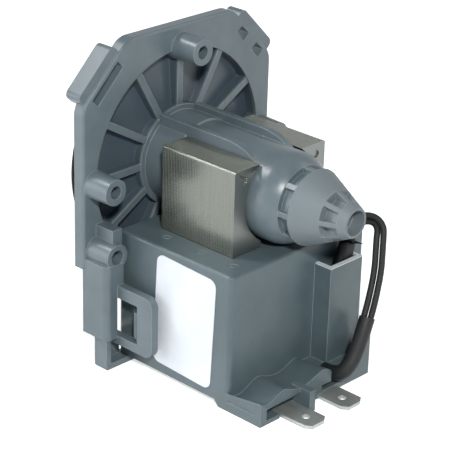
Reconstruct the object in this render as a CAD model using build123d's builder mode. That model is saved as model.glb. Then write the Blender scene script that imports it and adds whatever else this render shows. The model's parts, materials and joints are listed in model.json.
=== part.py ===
from build123d import *
import os
from math import cos, degrees, pi, radians, sin, sqrt, tan

# Drain pump of a dishwasher: a wet-rotor magnet motor with its impeller.
# The origin is on the pump axis, in the front face of the mounting flange.
# X runs along the axis, the motor nose towards +X and the impeller towards -X.
# Z is up, and the pump stands on the feet of its bracket legs and on its terminal block.
# All sizes are millimetres.

# Mounting flange
flange_width = 60.0
flange_thickness = 3.0
flange_top = 31.6
flange_low = 20.0
flange_corner_cut = 13.2
flange_corner_radius = 5.0
flange_edge_radius = 0.6
rim_radius = 0.25

# Ribbed recess in the flange and the hub that the rotor can stands on
recess_radius = 26.0
recess_rim_depth = 3.4
recess_hub_depth = 2.4
recess_floor = 2.0
rib_count = 12
rib_width = 1.7
rib_drop = 0.3
rib_root = 0.2
hub_ring_radius = 12.3
hub_ring_drop = 0.2

# Round spigot that plugs into the sump, with its rubber ring
spigot_radius = 25.4
spigot_step = 8.3
spigot_tip_radius = 22.0
spigot_length = 9.6
spigot_wall = 2.0
collar_wall = 1.6
seal_seat_depth = 0.4
shoulder_radius = 27.2
ring_width = 2.6
ring_height = 1.45
ring_lip_depth = 0.5

# Screw bosses
boss_circle = 26.5
boss_height = 6.8
boss_root_radius = 3.35
boss_tip_radius = 3.05
boss_hole_radius = 1.55
corner_boss_y = 26.0
corner_boss_z = 15.9
corner_boss_hole_radius = 1.75
boss_web_length = 5.5
boss_web_width = 2.9
boss_web_inset = 0.3
boss_web_top = 9.8

# Bayonet ears and the slots inside them
ear_reach = 2.4
ear_length = 14.5
ear_depth = 4.4
ear_root = 4.0
ear_corner_radius = 1.4
slot_inset = 2.2
slot_length = 10.6
slot_width = 2.3
slot_bridge = 3.8

# Rotor can, shoulder, groove and nose
hub_radius = 11.0
hub_length = 8.3
can_radius = 10.6
can_bore_radius = 8.7
shoulder_start = 33.6
shoulder_end = 38.6
shoulder_face_radius = 8.7
groove_radius = 7.4
groove_width = 2.8
groove_rib_count = 8
groove_rib_width = 1.3
groove_rib_drop = 0.1
cone_base_radius = 8.95
nose_tip = 53.5
nose_tip_radius = 3.4
nose_hole_radius = 2.9
nose_hole_depth = 3.3
pocket_count = 8
pocket_start = 48.0
pocket_end = 51.5
pocket_floor_radius = 3.75
pocket_rib_width = 1.25
fin_spacing = 11.2
fin_thickness = 1.6
fin_top = 11.45
fin_root = 7.8
fin_flat_end = 19.0
fin_knee = 25.2
fin_knee_top = 10.8
fin_end = 29.6
fin_end_top = 8.3
fin_end_slope = -1.1

# Bracket legs with their latch windows and hook feet
leg_depth = 5.2
leg_length = 7.0
leg_top = 17.5
leg_bottom = 36.0
leg_wall = 1.6
leg_corner_radius = 1.5
leg_bite = 1.0
latch_inset = 3.3
latch_thickness = 2.0
latch_gap = 2.1
latch_root = 2.0
latch_end = 18.2
latch_top = 22.7
latch_bottom = 37.5
latch_radius = 2.4
window_end = 13.4
window_top = 25.7
window_bottom = 35.3
foot_start = 2.3
foot_end = 6.3
foot_inset = 0.6
foot_reach = 8.9
foot_wall = 1.4
foot_web = 1.2
foot_web_gap = 0.3
foot_corner = 0.3
base_height = 43.8

# Laminated core
core_start = 9.1
core_length = 22.3
core_width = 29.3
core_top = 8.9
core_bore_radius = 11.15
core_window = 11.4
core_yoke = 9.2
core_lift = 2.6
core_corner = 0.5
dimple_radius = 0.9
dimple_depth = 0.35
dimple_y = 11.7
dimple_z = 6.3

# Coil housing with its terminal block
housing_width = 44.2
housing_start = 3.0
housing_end = 38.4
housing_top = 11.2
housing_lift = 1.5
housing_wall = 1.8
housing_edge_radius = 0.7
housing_corner_radius = 1.2
ejector_radius = 1.0
ejector_line = 0.35
ejector_depth = 0.15
ejector_spots = [(13.7, -17.2), (24.3, -17.2), (34.1, -17.2)]
core_slot_gap = 0.1
wedge_start = 8.5
wedge_end = 12.9
wedge_tip = 1.3
wedge_top = 28.0
wedge_bottom = 34.6
wedge_reach = 3.3

# Coils
bobbin_gap = 0.15
bobbin_wall = 0.8
bobbin_flange = 1.0
bobbin_clearance = 0.3
coil_inset = 0.4
coil_corner = 2.5

# Terminal block under the front of the housing
block_end = 48.1
block_right = 14.4
block_root = 35.3
block_step = 1.2
block_front_rise = 5.8
block_back_rise = 4.2
block_side_rise = 4.0
hump_rise = 0.95
hump_width = 5.4
hump_front_y = -14.7
hump_back_y = -12.4
block_line_rise = 2.6
block_line_depth = 0.25
block_line_width = 0.4
tab_bay_depth = 2.8
tab_bay_rise = 3.8
bay_post = 2.0
bay_lip_width = 4.3
bay_lip_height = 1.0
divider_y = -8.4
divider_width = 1.8
divider_reach = 3.0
divider_rise = 5.2
guide_wall = 2.2
guide_rise = 13.2
guide_gusset = 1.5
guide_foot = 8.6
guide_shoulder = 12.6
lead_notch_start = 1.3
lead_notch_end = 5.4
lead_notch_depth = 4.2
lead_notch_rise = 1.4
wire_slot_start = -1.9
wire_slot_rise = 2.8

# Spade terminals
tab_width = 6.3
tab_thickness = 0.8
tab_spacing = 12.2
tab_centre_y = -6.35
tab_tip = 56.6
tab_root = 41.0
tab_rise = 0.7
tab_seat_run = 2.0
tab_hole_radius = 0.95
tab_hole_from_tip = 3.75
tab_chamfer = 1.5
tab_chamfer_side = 1.0

# Pocket of the thermal cut-out, and the cut-out itself
pocket_reach = 4.8
pocket_left = 5.0
pocket_right = 15.8
pocket_lip = 15.9
pocket_wall = 1.0
pocket_floor = 27.5
cutout_width = 4.6
cutout_thickness = 2.4
cutout_length = 15.2
cutout_corner_radius = 0.95
cutout_x = 40.8
cutout_foot_y = 8.1
cutout_foot_z = 26.65
cutout_lean = 20.0

# Label on the side of the housing
label_width = 18.2
label_height = 27.0
label_thickness = 0.15
label_x = 24.2
label_z = 26.7
label_turn = 2.6
label_radius = 2.0

# Rotor, bearings and impeller
shaft_radius = 1.5
shaft_clearance = 0.04
shaft_chamfer = 0.3
shaft_front_inset = 0.6
shaft_rear_reach = 0.75
bearing_radius = 4.7
bearing_length = 6.0
bearing_chamfer = 0.4
seat_radius = 6.2
seat_round_depth = 0.5
seat_round_run = 0.8
front_bearing_face = 2.5
rear_bearing_face = 37.0
end_float = 0.06
washer_thickness = 0.8
washer_radius = 3.8
rotor_hub_radius = 3.2
rotor_disc_radius = 7.2
rotor_disc_thickness = 1.0
magnet_radius = 8.0
magnet_length = 24.0
magnet_chamfer = 0.6
fit_gap = 0.03
carrier_gap = 0.15
carrier_plate = 2.0
carrier_rim = 1.7
carrier_face = 8.6
vent_count = 6
vent_radius = 2.0
vent_turn = 30.0
oring_groove_start = -2.6
oring_groove_width = 2.6
oring_groove_depth = 1.2
impeller_gap = 0.9
impeller_radius = 19.2
impeller_disc = 1.4
impeller_hub_radius = 8.0
impeller_hub_length = 12.0
cavity_radius = 6.6
cavity_wall = 1.5
cap_thickness = 1.5
cap_nose_radius = 4.0
cap_nose_height = 0.9
cap_bore_depth = 1.2
blade_count = 8
blade_thickness = 1.4
blade_rim_height = 2.6
blade_hub_height = 9.6
blade_root = 0.4
dog_gap = 0.3
dog_hub_radius = 3.0
dog_bite = 0.6
dog_angle = 100.0
stop_angle = 90.0
stop_clearance = 1.0
stop_root = 0.3

# Leads of the thermal cut-out
lead_diameter = 1.45
lead_pitch = 1.55
sleeve_bore_radius = 1.58
sleeve_radius = 1.8
lead_side = (-0.5, 0.85, 0)
lead_arc_share = 0.45
bare_point_count = 11
lead_route = [
    (40.8, 13.3, -12.37),
    (40.8, 14.16, -10.02),
    (41.28, 15.25, -8.07),
    (43.03, 16.47, -6.94),
    (45.27, 17.05, -6.94),
    (47.16, 16.77, -8.07),
    (47.96, 15.73, -10.0),
    (48.3, 15.3, -13.2),
    (48.7, 14.8, -17.4),
    (49.2, 13.3, -21.6),
    (49.8, 11.4, -25.5),
    (50.2, 9.4, -29.2),
    (50.3, 6.9, -34.7),
    (50.1, 4.9, -37.6),
    (48.9, 3.7, -39.6),
    (46.3, 3.35, -40.45),
    (43.9, 3.35, -40.45),
]

os.makedirs("parts", exist_ok=True)


def save(piece, name):
    piece.part.label = name
    export_step(piece.part, f"parts/{name}.step")


# Sizes that follow from the driving ones
corner_line = (flange_width / 2 + flange_top - flange_corner_cut) / sqrt(2)
ear_distance = corner_line + ear_reach
slot_distance = corner_line - slot_inset
latch_outer_y = housing_width / 2 + latch_gap + latch_thickness
leg_outer_y = latch_outer_y + latch_inset
foot_outer_y = leg_outer_y - foot_inset
foot_inner_y = foot_outer_y - foot_reach
wedge_outer_y = housing_width / 2 + wedge_reach
housing_bottom = base_height - housing_lift
core_bottom = base_height - core_lift
block_front_top = base_height - block_front_rise
block_back_top = base_height - block_back_rise
block_side_top = base_height - block_side_rise
block_line_z = base_height - block_line_rise
tab_bay_top = base_height - tab_bay_rise
divider_top = base_height - divider_rise
guide_top = base_height - guide_rise
lead_notch_floor = base_height - lead_notch_rise
wire_slot_top = base_height - wire_slot_rise
tab_z = base_height - tab_rise
cone_start = shoulder_end + groove_width
floor_back_rim = -(recess_rim_depth + recess_floor)
floor_back_hub = -(recess_hub_depth + recess_floor)
shaft_hole_radius = shaft_radius + shaft_clearance
rear_seat_end = rear_bearing_face + bearing_length
shoulder_rise = can_radius - shoulder_face_radius
shoulder_run = shoulder_end - shoulder_start
seal_seat_radius = spigot_radius - seal_seat_depth
ring_back = floor_back_rim - ring_width
shoulder_arc = (shoulder_run**2 + shoulder_rise**2) / (2 * shoulder_rise)


# Flange, rotor can and bracket legs in one moulding

with BuildPart() as flange_can:
    with BuildSketch(Plane.YZ) as plate_outline:
        with BuildLine():
            FilletPolyline(
                (-flange_width / 2, -flange_low),
                (-flange_width / 2, flange_top - flange_corner_cut),
                (-flange_width / 2 + flange_corner_cut, flange_top),
                (flange_width / 2 - flange_corner_cut, flange_top),
                (flange_width / 2, flange_top - flange_corner_cut),
                (flange_width / 2, -flange_low),
                radius=flange_corner_radius,
            )
            Line((flange_width / 2, -flange_low), (-flange_width / 2, -flange_low))
        make_face()
        Circle(shoulder_radius)
    extrude(amount=-flange_thickness)
    front_rim = flange_can.faces().sort_by(Axis.X)[-1].outer_wire().edges()
    fillet(front_rim, flange_edge_radius)

    # Grip ears outside the cut corners, with the slots that free them
    for side in (-1, 1):
        corner = Plane((0, 0, 0), x_dir=(0, side, 1), z_dir=(1, 0, 0))
        ear_middle = ear_distance - ear_root / 2
        with BuildSketch(corner.offset(-flange_edge_radius)):
            with Locations((ear_middle, 0)):
                RectangleRounded(ear_root, ear_length, ear_corner_radius)
        extrude(amount=-ear_depth)

    with BuildSketch(Plane.YZ):
        Circle(recess_radius)
    extrude(amount=-flange_thickness, mode=Mode.SUBTRACT)

    # Turned form: spigot, conical floor, can, shoulder, groove, cone and nose
    with BuildSketch(Plane.XY):
        with BuildLine():
            Polyline(
                (-spigot_length, spigot_tip_radius - spigot_wall),
                (-spigot_length, spigot_tip_radius),
                (floor_back_rim, spigot_tip_radius),
                (floor_back_rim, spigot_radius - collar_wall),
                (-spigot_step, spigot_radius - collar_wall),
                (-spigot_step, spigot_radius),
                (ring_back, spigot_radius),
                (ring_back, seal_seat_radius),
                (floor_back_rim, seal_seat_radius),
                (floor_back_rim, shoulder_radius),
                (-flange_thickness / 2, shoulder_radius),
                (-flange_thickness / 2, recess_radius),
                (-recess_rim_depth, recess_radius),
                (-recess_hub_depth, hub_ring_radius),
                (-hub_ring_drop, hub_ring_radius),
                (-hub_ring_drop, hub_radius),
                (hub_length, hub_radius),
                (hub_length, can_radius),
                (shoulder_start, can_radius),
            )
            RadiusArc(
                (shoulder_start, can_radius),
                (shoulder_end, shoulder_face_radius),
                shoulder_arc,
            )
            Polyline(
                (shoulder_end, shoulder_face_radius),
                (shoulder_end, groove_radius),
                (cone_start, groove_radius),
                (cone_start, cone_base_radius),
                (nose_tip, nose_tip_radius),
                (nose_tip, nose_hole_radius),
                (nose_tip - nose_hole_depth, nose_hole_radius),
                (nose_tip - nose_hole_depth, 0),
                (rear_seat_end + shaft_radius, 0),
                (rear_seat_end + shaft_radius, shaft_radius * 2),
                (rear_seat_end, shaft_radius * 2),
                (rear_seat_end, seat_radius),
                (rear_bearing_face - fit_gap, seat_radius),
                (rear_bearing_face - fit_gap, can_bore_radius),
                (floor_back_hub, can_bore_radius),
                (floor_back_hub, hub_ring_radius),
                (floor_back_rim, spigot_tip_radius - spigot_wall),
                (-spigot_length, spigot_tip_radius - spigot_wall),
            )
        make_face()
    revolve(axis=Axis.X)

    # Rounded rims of the hub, the hub ring, the cone and the nose tip
    rounded_rims = (
        (-hub_ring_drop, hub_ring_radius),
        (hub_length, hub_radius),
        (cone_start, cone_base_radius),
        (nose_tip, nose_tip_radius),
    )
    circles = flange_can.edges().filter_by(GeomType.CIRCLE)
    for place, radius in rounded_rims:
        rims = circles.filter_by_position(Axis.X, place - fit_gap, place + fit_gap)
        fillet(rims.sort_by(SortBy.RADIUS)[-1], rim_radius)

    # Spoke ribs across the recess
    rib_length = recess_radius - hub_radius + rib_width / 2
    rib_middle = recess_radius - rib_length / 2 + rib_width / 4
    with BuildSketch(Plane.YZ.offset(-rib_drop)):
        with PolarLocations(rib_middle, rib_count):
            Rectangle(rib_length, rib_width)
    extrude(amount=-(recess_rim_depth + rib_root - rib_drop))

    # Round screw bosses on the recess edge and in the lower corners
    round_bosses = [(-boss_circle, 0), (boss_circle, 0), (0, boss_circle)]
    corner_bosses = [(-corner_boss_y, -corner_boss_z), (corner_boss_y, -corner_boss_z)]
    boss_root = Plane.YZ.offset(-flange_thickness)
    boss_run = boss_height + flange_thickness
    boss_taper = degrees((boss_root_radius - boss_tip_radius) / boss_run)
    with BuildSketch(boss_root):
        with Locations(*round_bosses, *corner_bosses):
            Circle(boss_root_radius)
    extrude(amount=boss_run, taper=boss_taper)

    # Webs that tie the lower bosses to the flange
    with BuildSketch(Plane.YZ.offset(-flange_thickness)):
        for side in (-1, 1):
            web_height = corner_boss_z - boss_web_top
            web_y = side * (corner_boss_y - boss_web_width / 2 + boss_web_inset)
            with Locations((web_y, -boss_web_top - web_height / 2)):
                Rectangle(boss_web_width, web_height)
    extrude(amount=boss_web_length + flange_thickness)

    for spots, radius in (
        (round_bosses, boss_hole_radius),
        (corner_bosses, corner_boss_hole_radius),
    ):
        with BuildSketch(Plane.YZ.offset(boss_height)):
            with Locations(*spots):
                Circle(radius)
        extrude(amount=-(boss_height + flange_thickness / 2), mode=Mode.SUBTRACT)

    # Slots of the grip ears: a plain one, and one with a bridge across it
    for side in (-1, 1):
        corner = Plane((0, 0, 0), x_dir=(0, side, 1), z_dir=(1, 0, 0))
        with BuildSketch(corner):
            with Locations((slot_distance, 0)):
                Rectangle(slot_width, slot_length)
                if side > 0:
                    Rectangle(slot_width, slot_bridge, mode=Mode.SUBTRACT)
        extrude(amount=-ear_depth - flange_edge_radius, mode=Mode.SUBTRACT)

    # Fins on top of the can, which fill the mouth of the core
    for side in (-1, 1):
        fin_middle = Plane.XZ.offset(side * fin_spacing / 2)
        with BuildSketch(fin_middle):
            with BuildLine():
                Polyline((fin_end, fin_end_top), (fin_end, fin_root), (0, fin_root), (0, fin_top))
                Line((0, fin_top), (fin_flat_end, fin_top))
                Spline(
                    (fin_flat_end, fin_top),
                    (fin_knee, fin_knee_top),
                    (fin_end, fin_end_top),
                    tangents=[(1, 0), (1, fin_end_slope)],
                )
            make_face()
        extrude(amount=fin_thickness / 2, both=True)

    # Short ribs across the groove
    with BuildSketch(Plane.YZ.offset(shoulder_end - fit_gap)):
        rib_height = shoulder_face_radius - groove_radius
        with PolarLocations(groove_radius + rib_height / 2 - groove_rib_drop, groove_rib_count):
            Rectangle(rib_height, groove_rib_width)
    extrude(amount=groove_width + 2 * fit_gap)

    # Pockets round the nose, which leave tapered ribs between them
    with BuildSketch(Plane.YZ.offset(pocket_end)):
        half_turn = radians(180 / pocket_count)
        outer = cone_base_radius
        near = pocket_floor_radius
        near_half = near * tan(half_turn) - pocket_rib_width / 2
        far_half = outer * tan(half_turn) - pocket_rib_width / 2
        with PolarLocations(0, pocket_count, start_angle=180 / pocket_count):
            Polygon(
                (near, -near_half),
                (outer, -far_half),
                (outer, far_half),
                (near, near_half),
                align=None,
            )
    extrude(amount=-(pocket_end - pocket_start), mode=Mode.SUBTRACT)

    # Bracket legs: post, latch plate with its window, and hook foot
    for side in (-1, 1):
        post_y = side * (leg_outer_y - leg_depth / 2)
        with BuildSketch(Plane.XY.offset(-leg_bottom)) as post:
            with Locations(((leg_length - leg_bite) / 2, post_y)):
                Rectangle(leg_length + leg_bite, leg_depth)
            rounded = post.vertices().sort_by(Axis.X)[-2:].sort_by(Axis.Y)
            fillet(rounded[0 if side < 0 else -1], leg_corner_radius)
        extrude(amount=leg_bottom - leg_top)
        with BuildSketch(Plane.XY.offset(-leg_bottom)):
            with Locations((leg_length / 2, post_y - side * leg_wall)):
                Rectangle(leg_length - 2 * leg_wall, leg_depth)
        extrude(amount=leg_bottom - flange_low - leg_wall, mode=Mode.SUBTRACT)
        leg_inner_y = leg_outer_y - leg_depth
        with BuildSketch(Plane.XY.offset(-window_bottom)):
            with Locations((leg_length - leg_wall / 2, side * (latch_outer_y + leg_inner_y) / 2)):
                Rectangle(leg_wall, latch_outer_y - leg_inner_y)
        extrude(amount=window_bottom - window_top, mode=Mode.SUBTRACT)

        latch_start = leg_length - latch_root
        latch_middle = ((latch_start + latch_end) / 2, -(latch_top + latch_bottom) / 2)
        with BuildSketch(Plane.XZ.offset(-side * latch_outer_y)) as latch:
            with Locations(latch_middle):
                Rectangle(latch_end - latch_start, latch_bottom - latch_top)
            fillet(latch.vertices().sort_by(Axis.X)[-2:], latch_radius)
            window_middle = ((latch_start + window_end) / 2, -(window_top + window_bottom) / 2)
            with Locations(window_middle):
                window_size = (window_end - latch_start, window_bottom - window_top)
                Rectangle(*window_size, mode=Mode.SUBTRACT)
        extrude(amount=side * latch_thickness)

        foot_length = foot_end - foot_start
        with BuildSketch(Plane.YZ.offset(foot_start)):
            with BuildLine():
                FilletPolyline(
                    (side * (foot_outer_y - foot_wall), -leg_bottom + leg_wall),
                    (side * foot_outer_y, -leg_bottom + leg_wall),
                    (side * foot_outer_y, -base_height),
                    (side * foot_inner_y, -base_height),
                    (side * foot_inner_y, -base_height + foot_wall),
                    (side * (foot_outer_y - foot_wall), -base_height + foot_wall),
                    close=True,
                    radius=foot_wall * foot_corner,
                )
            make_face()
        extrude(amount=foot_length)
        web_height = base_height - leg_bottom
        web_outer = foot_outer_y - foot_wall / 2
        web_inner = housing_width / 2 + foot_web_gap
        web_middle = (side * (web_outer + web_inner) / 2, -base_height + web_height / 2)
        with BuildSketch(Plane.YZ.offset(foot_start)):
            with Locations(web_middle):
                Rectangle(web_outer - web_inner, web_height - foot_wall)
        extrude(amount=foot_web)

save(flange_can, "flange_can")


# Rubber ring on the spigot, with two sealing lips

with BuildPart() as flange_seal:
    ring_outer = spigot_radius + ring_height
    ring_inner = seal_seat_radius + fit_gap
    with BuildSketch(Plane.XY):
        with BuildLine():
            Polyline(
                (floor_back_rim, ring_outer - ring_lip_depth),
                (floor_back_rim, ring_inner),
                (ring_back + fit_gap, ring_inner),
                (ring_back + fit_gap, spigot_radius + fit_gap),
                (ring_back, spigot_radius + fit_gap),
                (ring_back, ring_outer - ring_lip_depth),
            )
            ThreePointArc(
                (ring_back, ring_outer - ring_lip_depth),
                (ring_back + ring_width / 4, ring_outer),
                (ring_back + ring_width / 2, ring_outer - ring_lip_depth),
            )
            ThreePointArc(
                (ring_back + ring_width / 2, ring_outer - ring_lip_depth),
                (floor_back_rim - ring_width / 4, ring_outer),
                (floor_back_rim, ring_outer - ring_lip_depth),
            )
        make_face()
    revolve(axis=Axis.X)
save(flange_seal, "flange_seal")


# Bearing carrier: closes the spigot and holds the front bearing inside the can

carrier_outer = spigot_tip_radius - spigot_wall - carrier_gap
carrier_hub = can_bore_radius - carrier_gap
carrier_back = -carrier_face + carrier_plate
front_seat_start = front_bearing_face - bearing_length
oring_floor = carrier_hub - oring_groove_depth
oring_groove_end = oring_groove_start + oring_groove_width

with BuildPart() as bearing_carrier:
    with BuildSketch(Plane.XY):
        with BuildLine():
            Polyline(
                (-carrier_face, shaft_radius * 2),
                (-carrier_face, carrier_outer),
                (floor_back_rim - fit_gap, carrier_outer),
                (floor_back_rim - fit_gap, carrier_outer - carrier_rim),
                (carrier_back, carrier_outer - carrier_rim),
                (carrier_back, carrier_hub),
                (oring_groove_start, carrier_hub),
                (oring_groove_start, oring_floor),
                (oring_groove_end, oring_floor),
                (oring_groove_end, carrier_hub),
                (front_bearing_face, carrier_hub),
                (front_bearing_face, seat_radius),
                (front_seat_start, seat_radius),
                (front_seat_start, shaft_radius * 2),
                (-carrier_face, shaft_radius * 2),
            )
        make_face()
    revolve(axis=Axis.X)
    # Ring of holes that drain the space behind the plate
    vent_circle = (carrier_hub + carrier_outer) / 2
    with BuildSketch(Plane.YZ.offset(-carrier_face)):
        with PolarLocations(vent_circle, vent_count, start_angle=vent_turn):
            Circle(vent_radius)
    extrude(amount=carrier_plate, mode=Mode.SUBTRACT)
save(bearing_carrier, "bearing_carrier")


with BuildPart() as carrier_o_ring:
    ring_section = (can_bore_radius - oring_floor) / 2 - fit_gap
    section_centre = (oring_floor + can_bore_radius) / 2
    with BuildSketch(Plane.XY):
        with Locations(((oring_groove_start + oring_groove_end) / 2, section_centre)):
            Circle(ring_section)
    revolve(axis=Axis.X)
save(carrier_o_ring, "carrier_o_ring")


def turned(profile):
    """Solid turned about the pump axis from (place, radius) points."""
    with BuildPart() as turned_piece:
        with BuildSketch(Plane.XY):
            Polygon(*profile, align=None)
        revolve(axis=Axis.X)
    return turned_piece


def bearing_and_seat(start, bearing_name, seat_name):
    """Sintered bush with a rounded rubber seat round it."""
    end = start + bearing_length
    with BuildPart() as bush:
        with BuildSketch(Plane.YZ.offset(start)):
            Circle(bearing_radius)
            Circle(shaft_hole_radius, mode=Mode.SUBTRACT)
        extrude(amount=bearing_length)
        rims = bush.edges().filter_by(GeomType.CIRCLE).group_by(SortBy.RADIUS)[-1]
        chamfer(rims, bearing_chamfer)
    save(bush, bearing_name)
    seat = turned(
        [
            (start + fit_gap, bearing_radius + fit_gap),
            (start + fit_gap, seat_radius - seat_round_depth),
            (start + seat_round_run, seat_radius - fit_gap),
            (end - seat_round_run, seat_radius - fit_gap),
            (end - fit_gap, seat_radius - seat_round_depth),
            (end - fit_gap, bearing_radius + fit_gap),
        ]
    )
    save(seat, seat_name)


bearing_and_seat(front_seat_start, "front_bearing", "front_bearing_seat")
bearing_and_seat(rear_bearing_face, "rear_bearing", "rear_bearing_seat")


# Rotor: shaft, magnet on its hub, and the two thrust washers

front_stack = front_bearing_face + end_float
rear_stack = rear_bearing_face - end_float
impeller_back = -spigot_length - impeller_gap
impeller_front = impeller_back - impeller_hub_length
cavity_end = impeller_back - cavity_wall
cap_back = impeller_front + cap_thickness
shaft_front = impeller_front + shaft_front_inset
shaft_rear = rear_seat_end + shaft_rear_reach

with BuildPart() as rotor_shaft:
    with BuildSketch(Plane.YZ.offset(shaft_front)):
        Circle(shaft_radius)
    extrude(amount=shaft_rear - shaft_front)
    chamfer(rotor_shaft.edges().filter_by(GeomType.CIRCLE), shaft_chamfer)
save(rotor_shaft, "rotor_shaft")

magnet_start = (front_stack + rear_stack - magnet_length) / 2
magnet_end = magnet_start + magnet_length
hub_start = front_stack + washer_thickness
hub_end = rear_stack - washer_thickness

magnet_hub = turned(
    [
        (hub_start, shaft_radius),
        (hub_start, rotor_hub_radius),
        (magnet_start - rotor_disc_thickness, rotor_hub_radius),
        (magnet_start - rotor_disc_thickness, rotor_disc_radius),
        (magnet_start, rotor_disc_radius),
        (magnet_start, rotor_hub_radius),
        (magnet_end, rotor_hub_radius),
        (magnet_end, rotor_disc_radius),
        (magnet_end + rotor_disc_thickness, rotor_disc_radius),
        (magnet_end + rotor_disc_thickness, rotor_hub_radius),
        (hub_end, rotor_hub_radius),
        (hub_end, shaft_radius),
    ]
)
save(magnet_hub, "magnet_hub")

rotor_magnet = turned(
    [
        (magnet_start, rotor_hub_radius),
        (magnet_start, magnet_radius - magnet_chamfer),
        (magnet_start + magnet_chamfer, magnet_radius),
        (magnet_end - magnet_chamfer, magnet_radius),
        (magnet_end, magnet_radius - magnet_chamfer),
        (magnet_end, rotor_hub_radius),
    ]
)
save(rotor_magnet, "rotor_magnet")

for washer_start, washer_name in (
    (front_stack, "front_thrust_washer"),
    (rear_stack - washer_thickness, "rear_thrust_washer"),
):
    with BuildPart() as washer:
        with BuildSketch(Plane.YZ.offset(washer_start)):
            Circle(washer_radius)
            Circle(shaft_radius, mode=Mode.SUBTRACT)
        extrude(amount=washer_thickness)
    save(washer, washer_name)


# Free-turning impeller: the dog on the shaft swings in its hub before it drives


def sector(inner, outer, middle, angle):
    """Ring sector in the plane across the axis, round a middle angle."""
    with BuildSketch(Plane.YZ) as shape:
        with BuildLine():
            rim = CenterArc((0, 0), outer, middle - angle / 2, angle)
            bore = CenterArc((0, 0), inner, middle - angle / 2, angle)
            Line(rim @ 0, bore @ 0)
            Line(rim @ 1, bore @ 1)
        make_face()
    return shape.sketch


dog_outer = cavity_radius - dog_gap
stop_inner = dog_hub_radius + dog_gap
dog_start = cap_back + dog_gap
dog_end = cavity_end - dog_gap
stop_middle = 90 + (dog_angle + stop_angle) / 2 + stop_clearance

with BuildPart() as coupling_dog:
    with BuildSketch(Plane.YZ.offset(dog_start)):
        Circle(dog_hub_radius)
        add(sector(dog_hub_radius - dog_bite, dog_outer, 90, dog_angle))
        Circle(shaft_radius, mode=Mode.SUBTRACT)
    extrude(amount=dog_end - dog_start)
save(coupling_dog, "coupling_dog")

# Straight blades, as the motor may start either way, tall at the hub and low at the rim
blade_back = impeller_back - impeller_disc + blade_root
blade_middle = (impeller_hub_radius + impeller_radius) / 2

with BuildPart() as blades:
    with BuildSketch(Plane.YZ.offset(blade_back)):
        with PolarLocations(blade_middle, blade_count):
            Rectangle(impeller_radius - impeller_hub_radius + blade_thickness, blade_thickness)
    extrude(amount=-(blade_hub_height + blade_root))
    with BuildSketch(Plane.XY):
        Polygon(
            (blade_back, 0),
            (blade_back - blade_root - blade_hub_height, 0),
            (blade_back - blade_root - blade_hub_height, impeller_hub_radius),
            (blade_back - blade_root - blade_rim_height, impeller_radius),
            (blade_back, impeller_radius),
            align=None,
        )
    revolve(axis=Axis.X, mode=Mode.INTERSECT)

with BuildPart() as impeller:
    with BuildSketch(Plane.YZ.offset(impeller_back)):
        Circle(impeller_radius)
    extrude(amount=-impeller_disc)
    with BuildSketch(Plane.YZ.offset(impeller_back)):
        Circle(impeller_hub_radius)
    extrude(amount=-impeller_hub_length)
    add(blades.part)
    with BuildSketch(Plane.YZ.offset(impeller_front)):
        Circle(cavity_radius)
    extrude(amount=cavity_end - impeller_front, mode=Mode.SUBTRACT)
    with BuildSketch(Plane.YZ.offset(cap_back)):
        add(sector(stop_inner, cavity_radius + stop_root, stop_middle, stop_angle))
    extrude(amount=cavity_end - cap_back + cavity_wall / 2)
    with BuildSketch(Plane.YZ.offset(impeller_front)):
        Circle(shaft_hole_radius)
    extrude(amount=impeller_hub_length, mode=Mode.SUBTRACT)
save(impeller, "impeller")

with BuildPart() as impeller_cap:
    with BuildSketch(Plane.YZ.offset(impeller_front)):
        Circle(cavity_radius - fit_gap)
    extrude(amount=cap_thickness)
    with BuildSketch(Plane.YZ.offset(impeller_front)):
        Circle(cap_nose_radius)
    extrude(amount=-cap_nose_height)
    with BuildSketch(Plane.YZ.offset(cap_back)):
        Circle(shaft_hole_radius)
    extrude(amount=-cap_bore_depth, mode=Mode.SUBTRACT)
save(impeller_cap, "impeller_cap")


# U-shaped laminated core round the can

window_floor = core_yoke - core_bottom
mouth = sqrt(core_bore_radius**2 - core_top**2)

with BuildPart() as stator_core:
    with BuildSketch(Plane.YZ.offset(core_start)) as core_sheet:
        with Locations((0, (core_top - core_bottom) / 2)):
            Rectangle(core_width, core_top + core_bottom)
        fillet(core_sheet.vertices(), core_corner)
        with Locations((0, window_floor / 2)):
            Rectangle(core_window, -window_floor, mode=Mode.SUBTRACT)
        Circle(core_bore_radius, mode=Mode.SUBTRACT)
        with Locations((0, core_top)):
            Rectangle(2 * mouth, core_top, mode=Mode.SUBTRACT)
    extrude(amount=core_length)
    with BuildSketch(Plane.YZ.offset(core_start + core_length)):
        with Locations((-dimple_y, dimple_z), (dimple_y, dimple_z)):
            Circle(dimple_radius)
    extrude(amount=-dimple_depth, mode=Mode.SUBTRACT)
save(stator_core, "stator_core")

leg_width = (core_width - core_window) / 2
leg_middle = (core_width + core_window) / 4
core_middle = core_start + core_length / 2
cavity_top = -(housing_top + housing_wall)
cavity_floor = window_floor
bobbin_bottom = cavity_floor
bobbin_top = cavity_top - bobbin_clearance
bobbin_height = bobbin_top - bobbin_bottom
bobbin_inner = (leg_width + 2 * bobbin_gap, core_length + 2 * bobbin_gap)
tube_width = bobbin_inner[0] + 2 * bobbin_wall
tube_length = bobbin_inner[1] + 2 * bobbin_wall
cavity_y = housing_width / 2 - housing_wall
flange_inner_y = bobbin_clearance
flange_outer_y = cavity_y - bobbin_clearance
flange_x0 = housing_start + housing_wall + bobbin_clearance
flange_x1 = housing_end - housing_wall - bobbin_clearance


# Coils: a bobbin and a taped winding on each leg of the core

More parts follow.
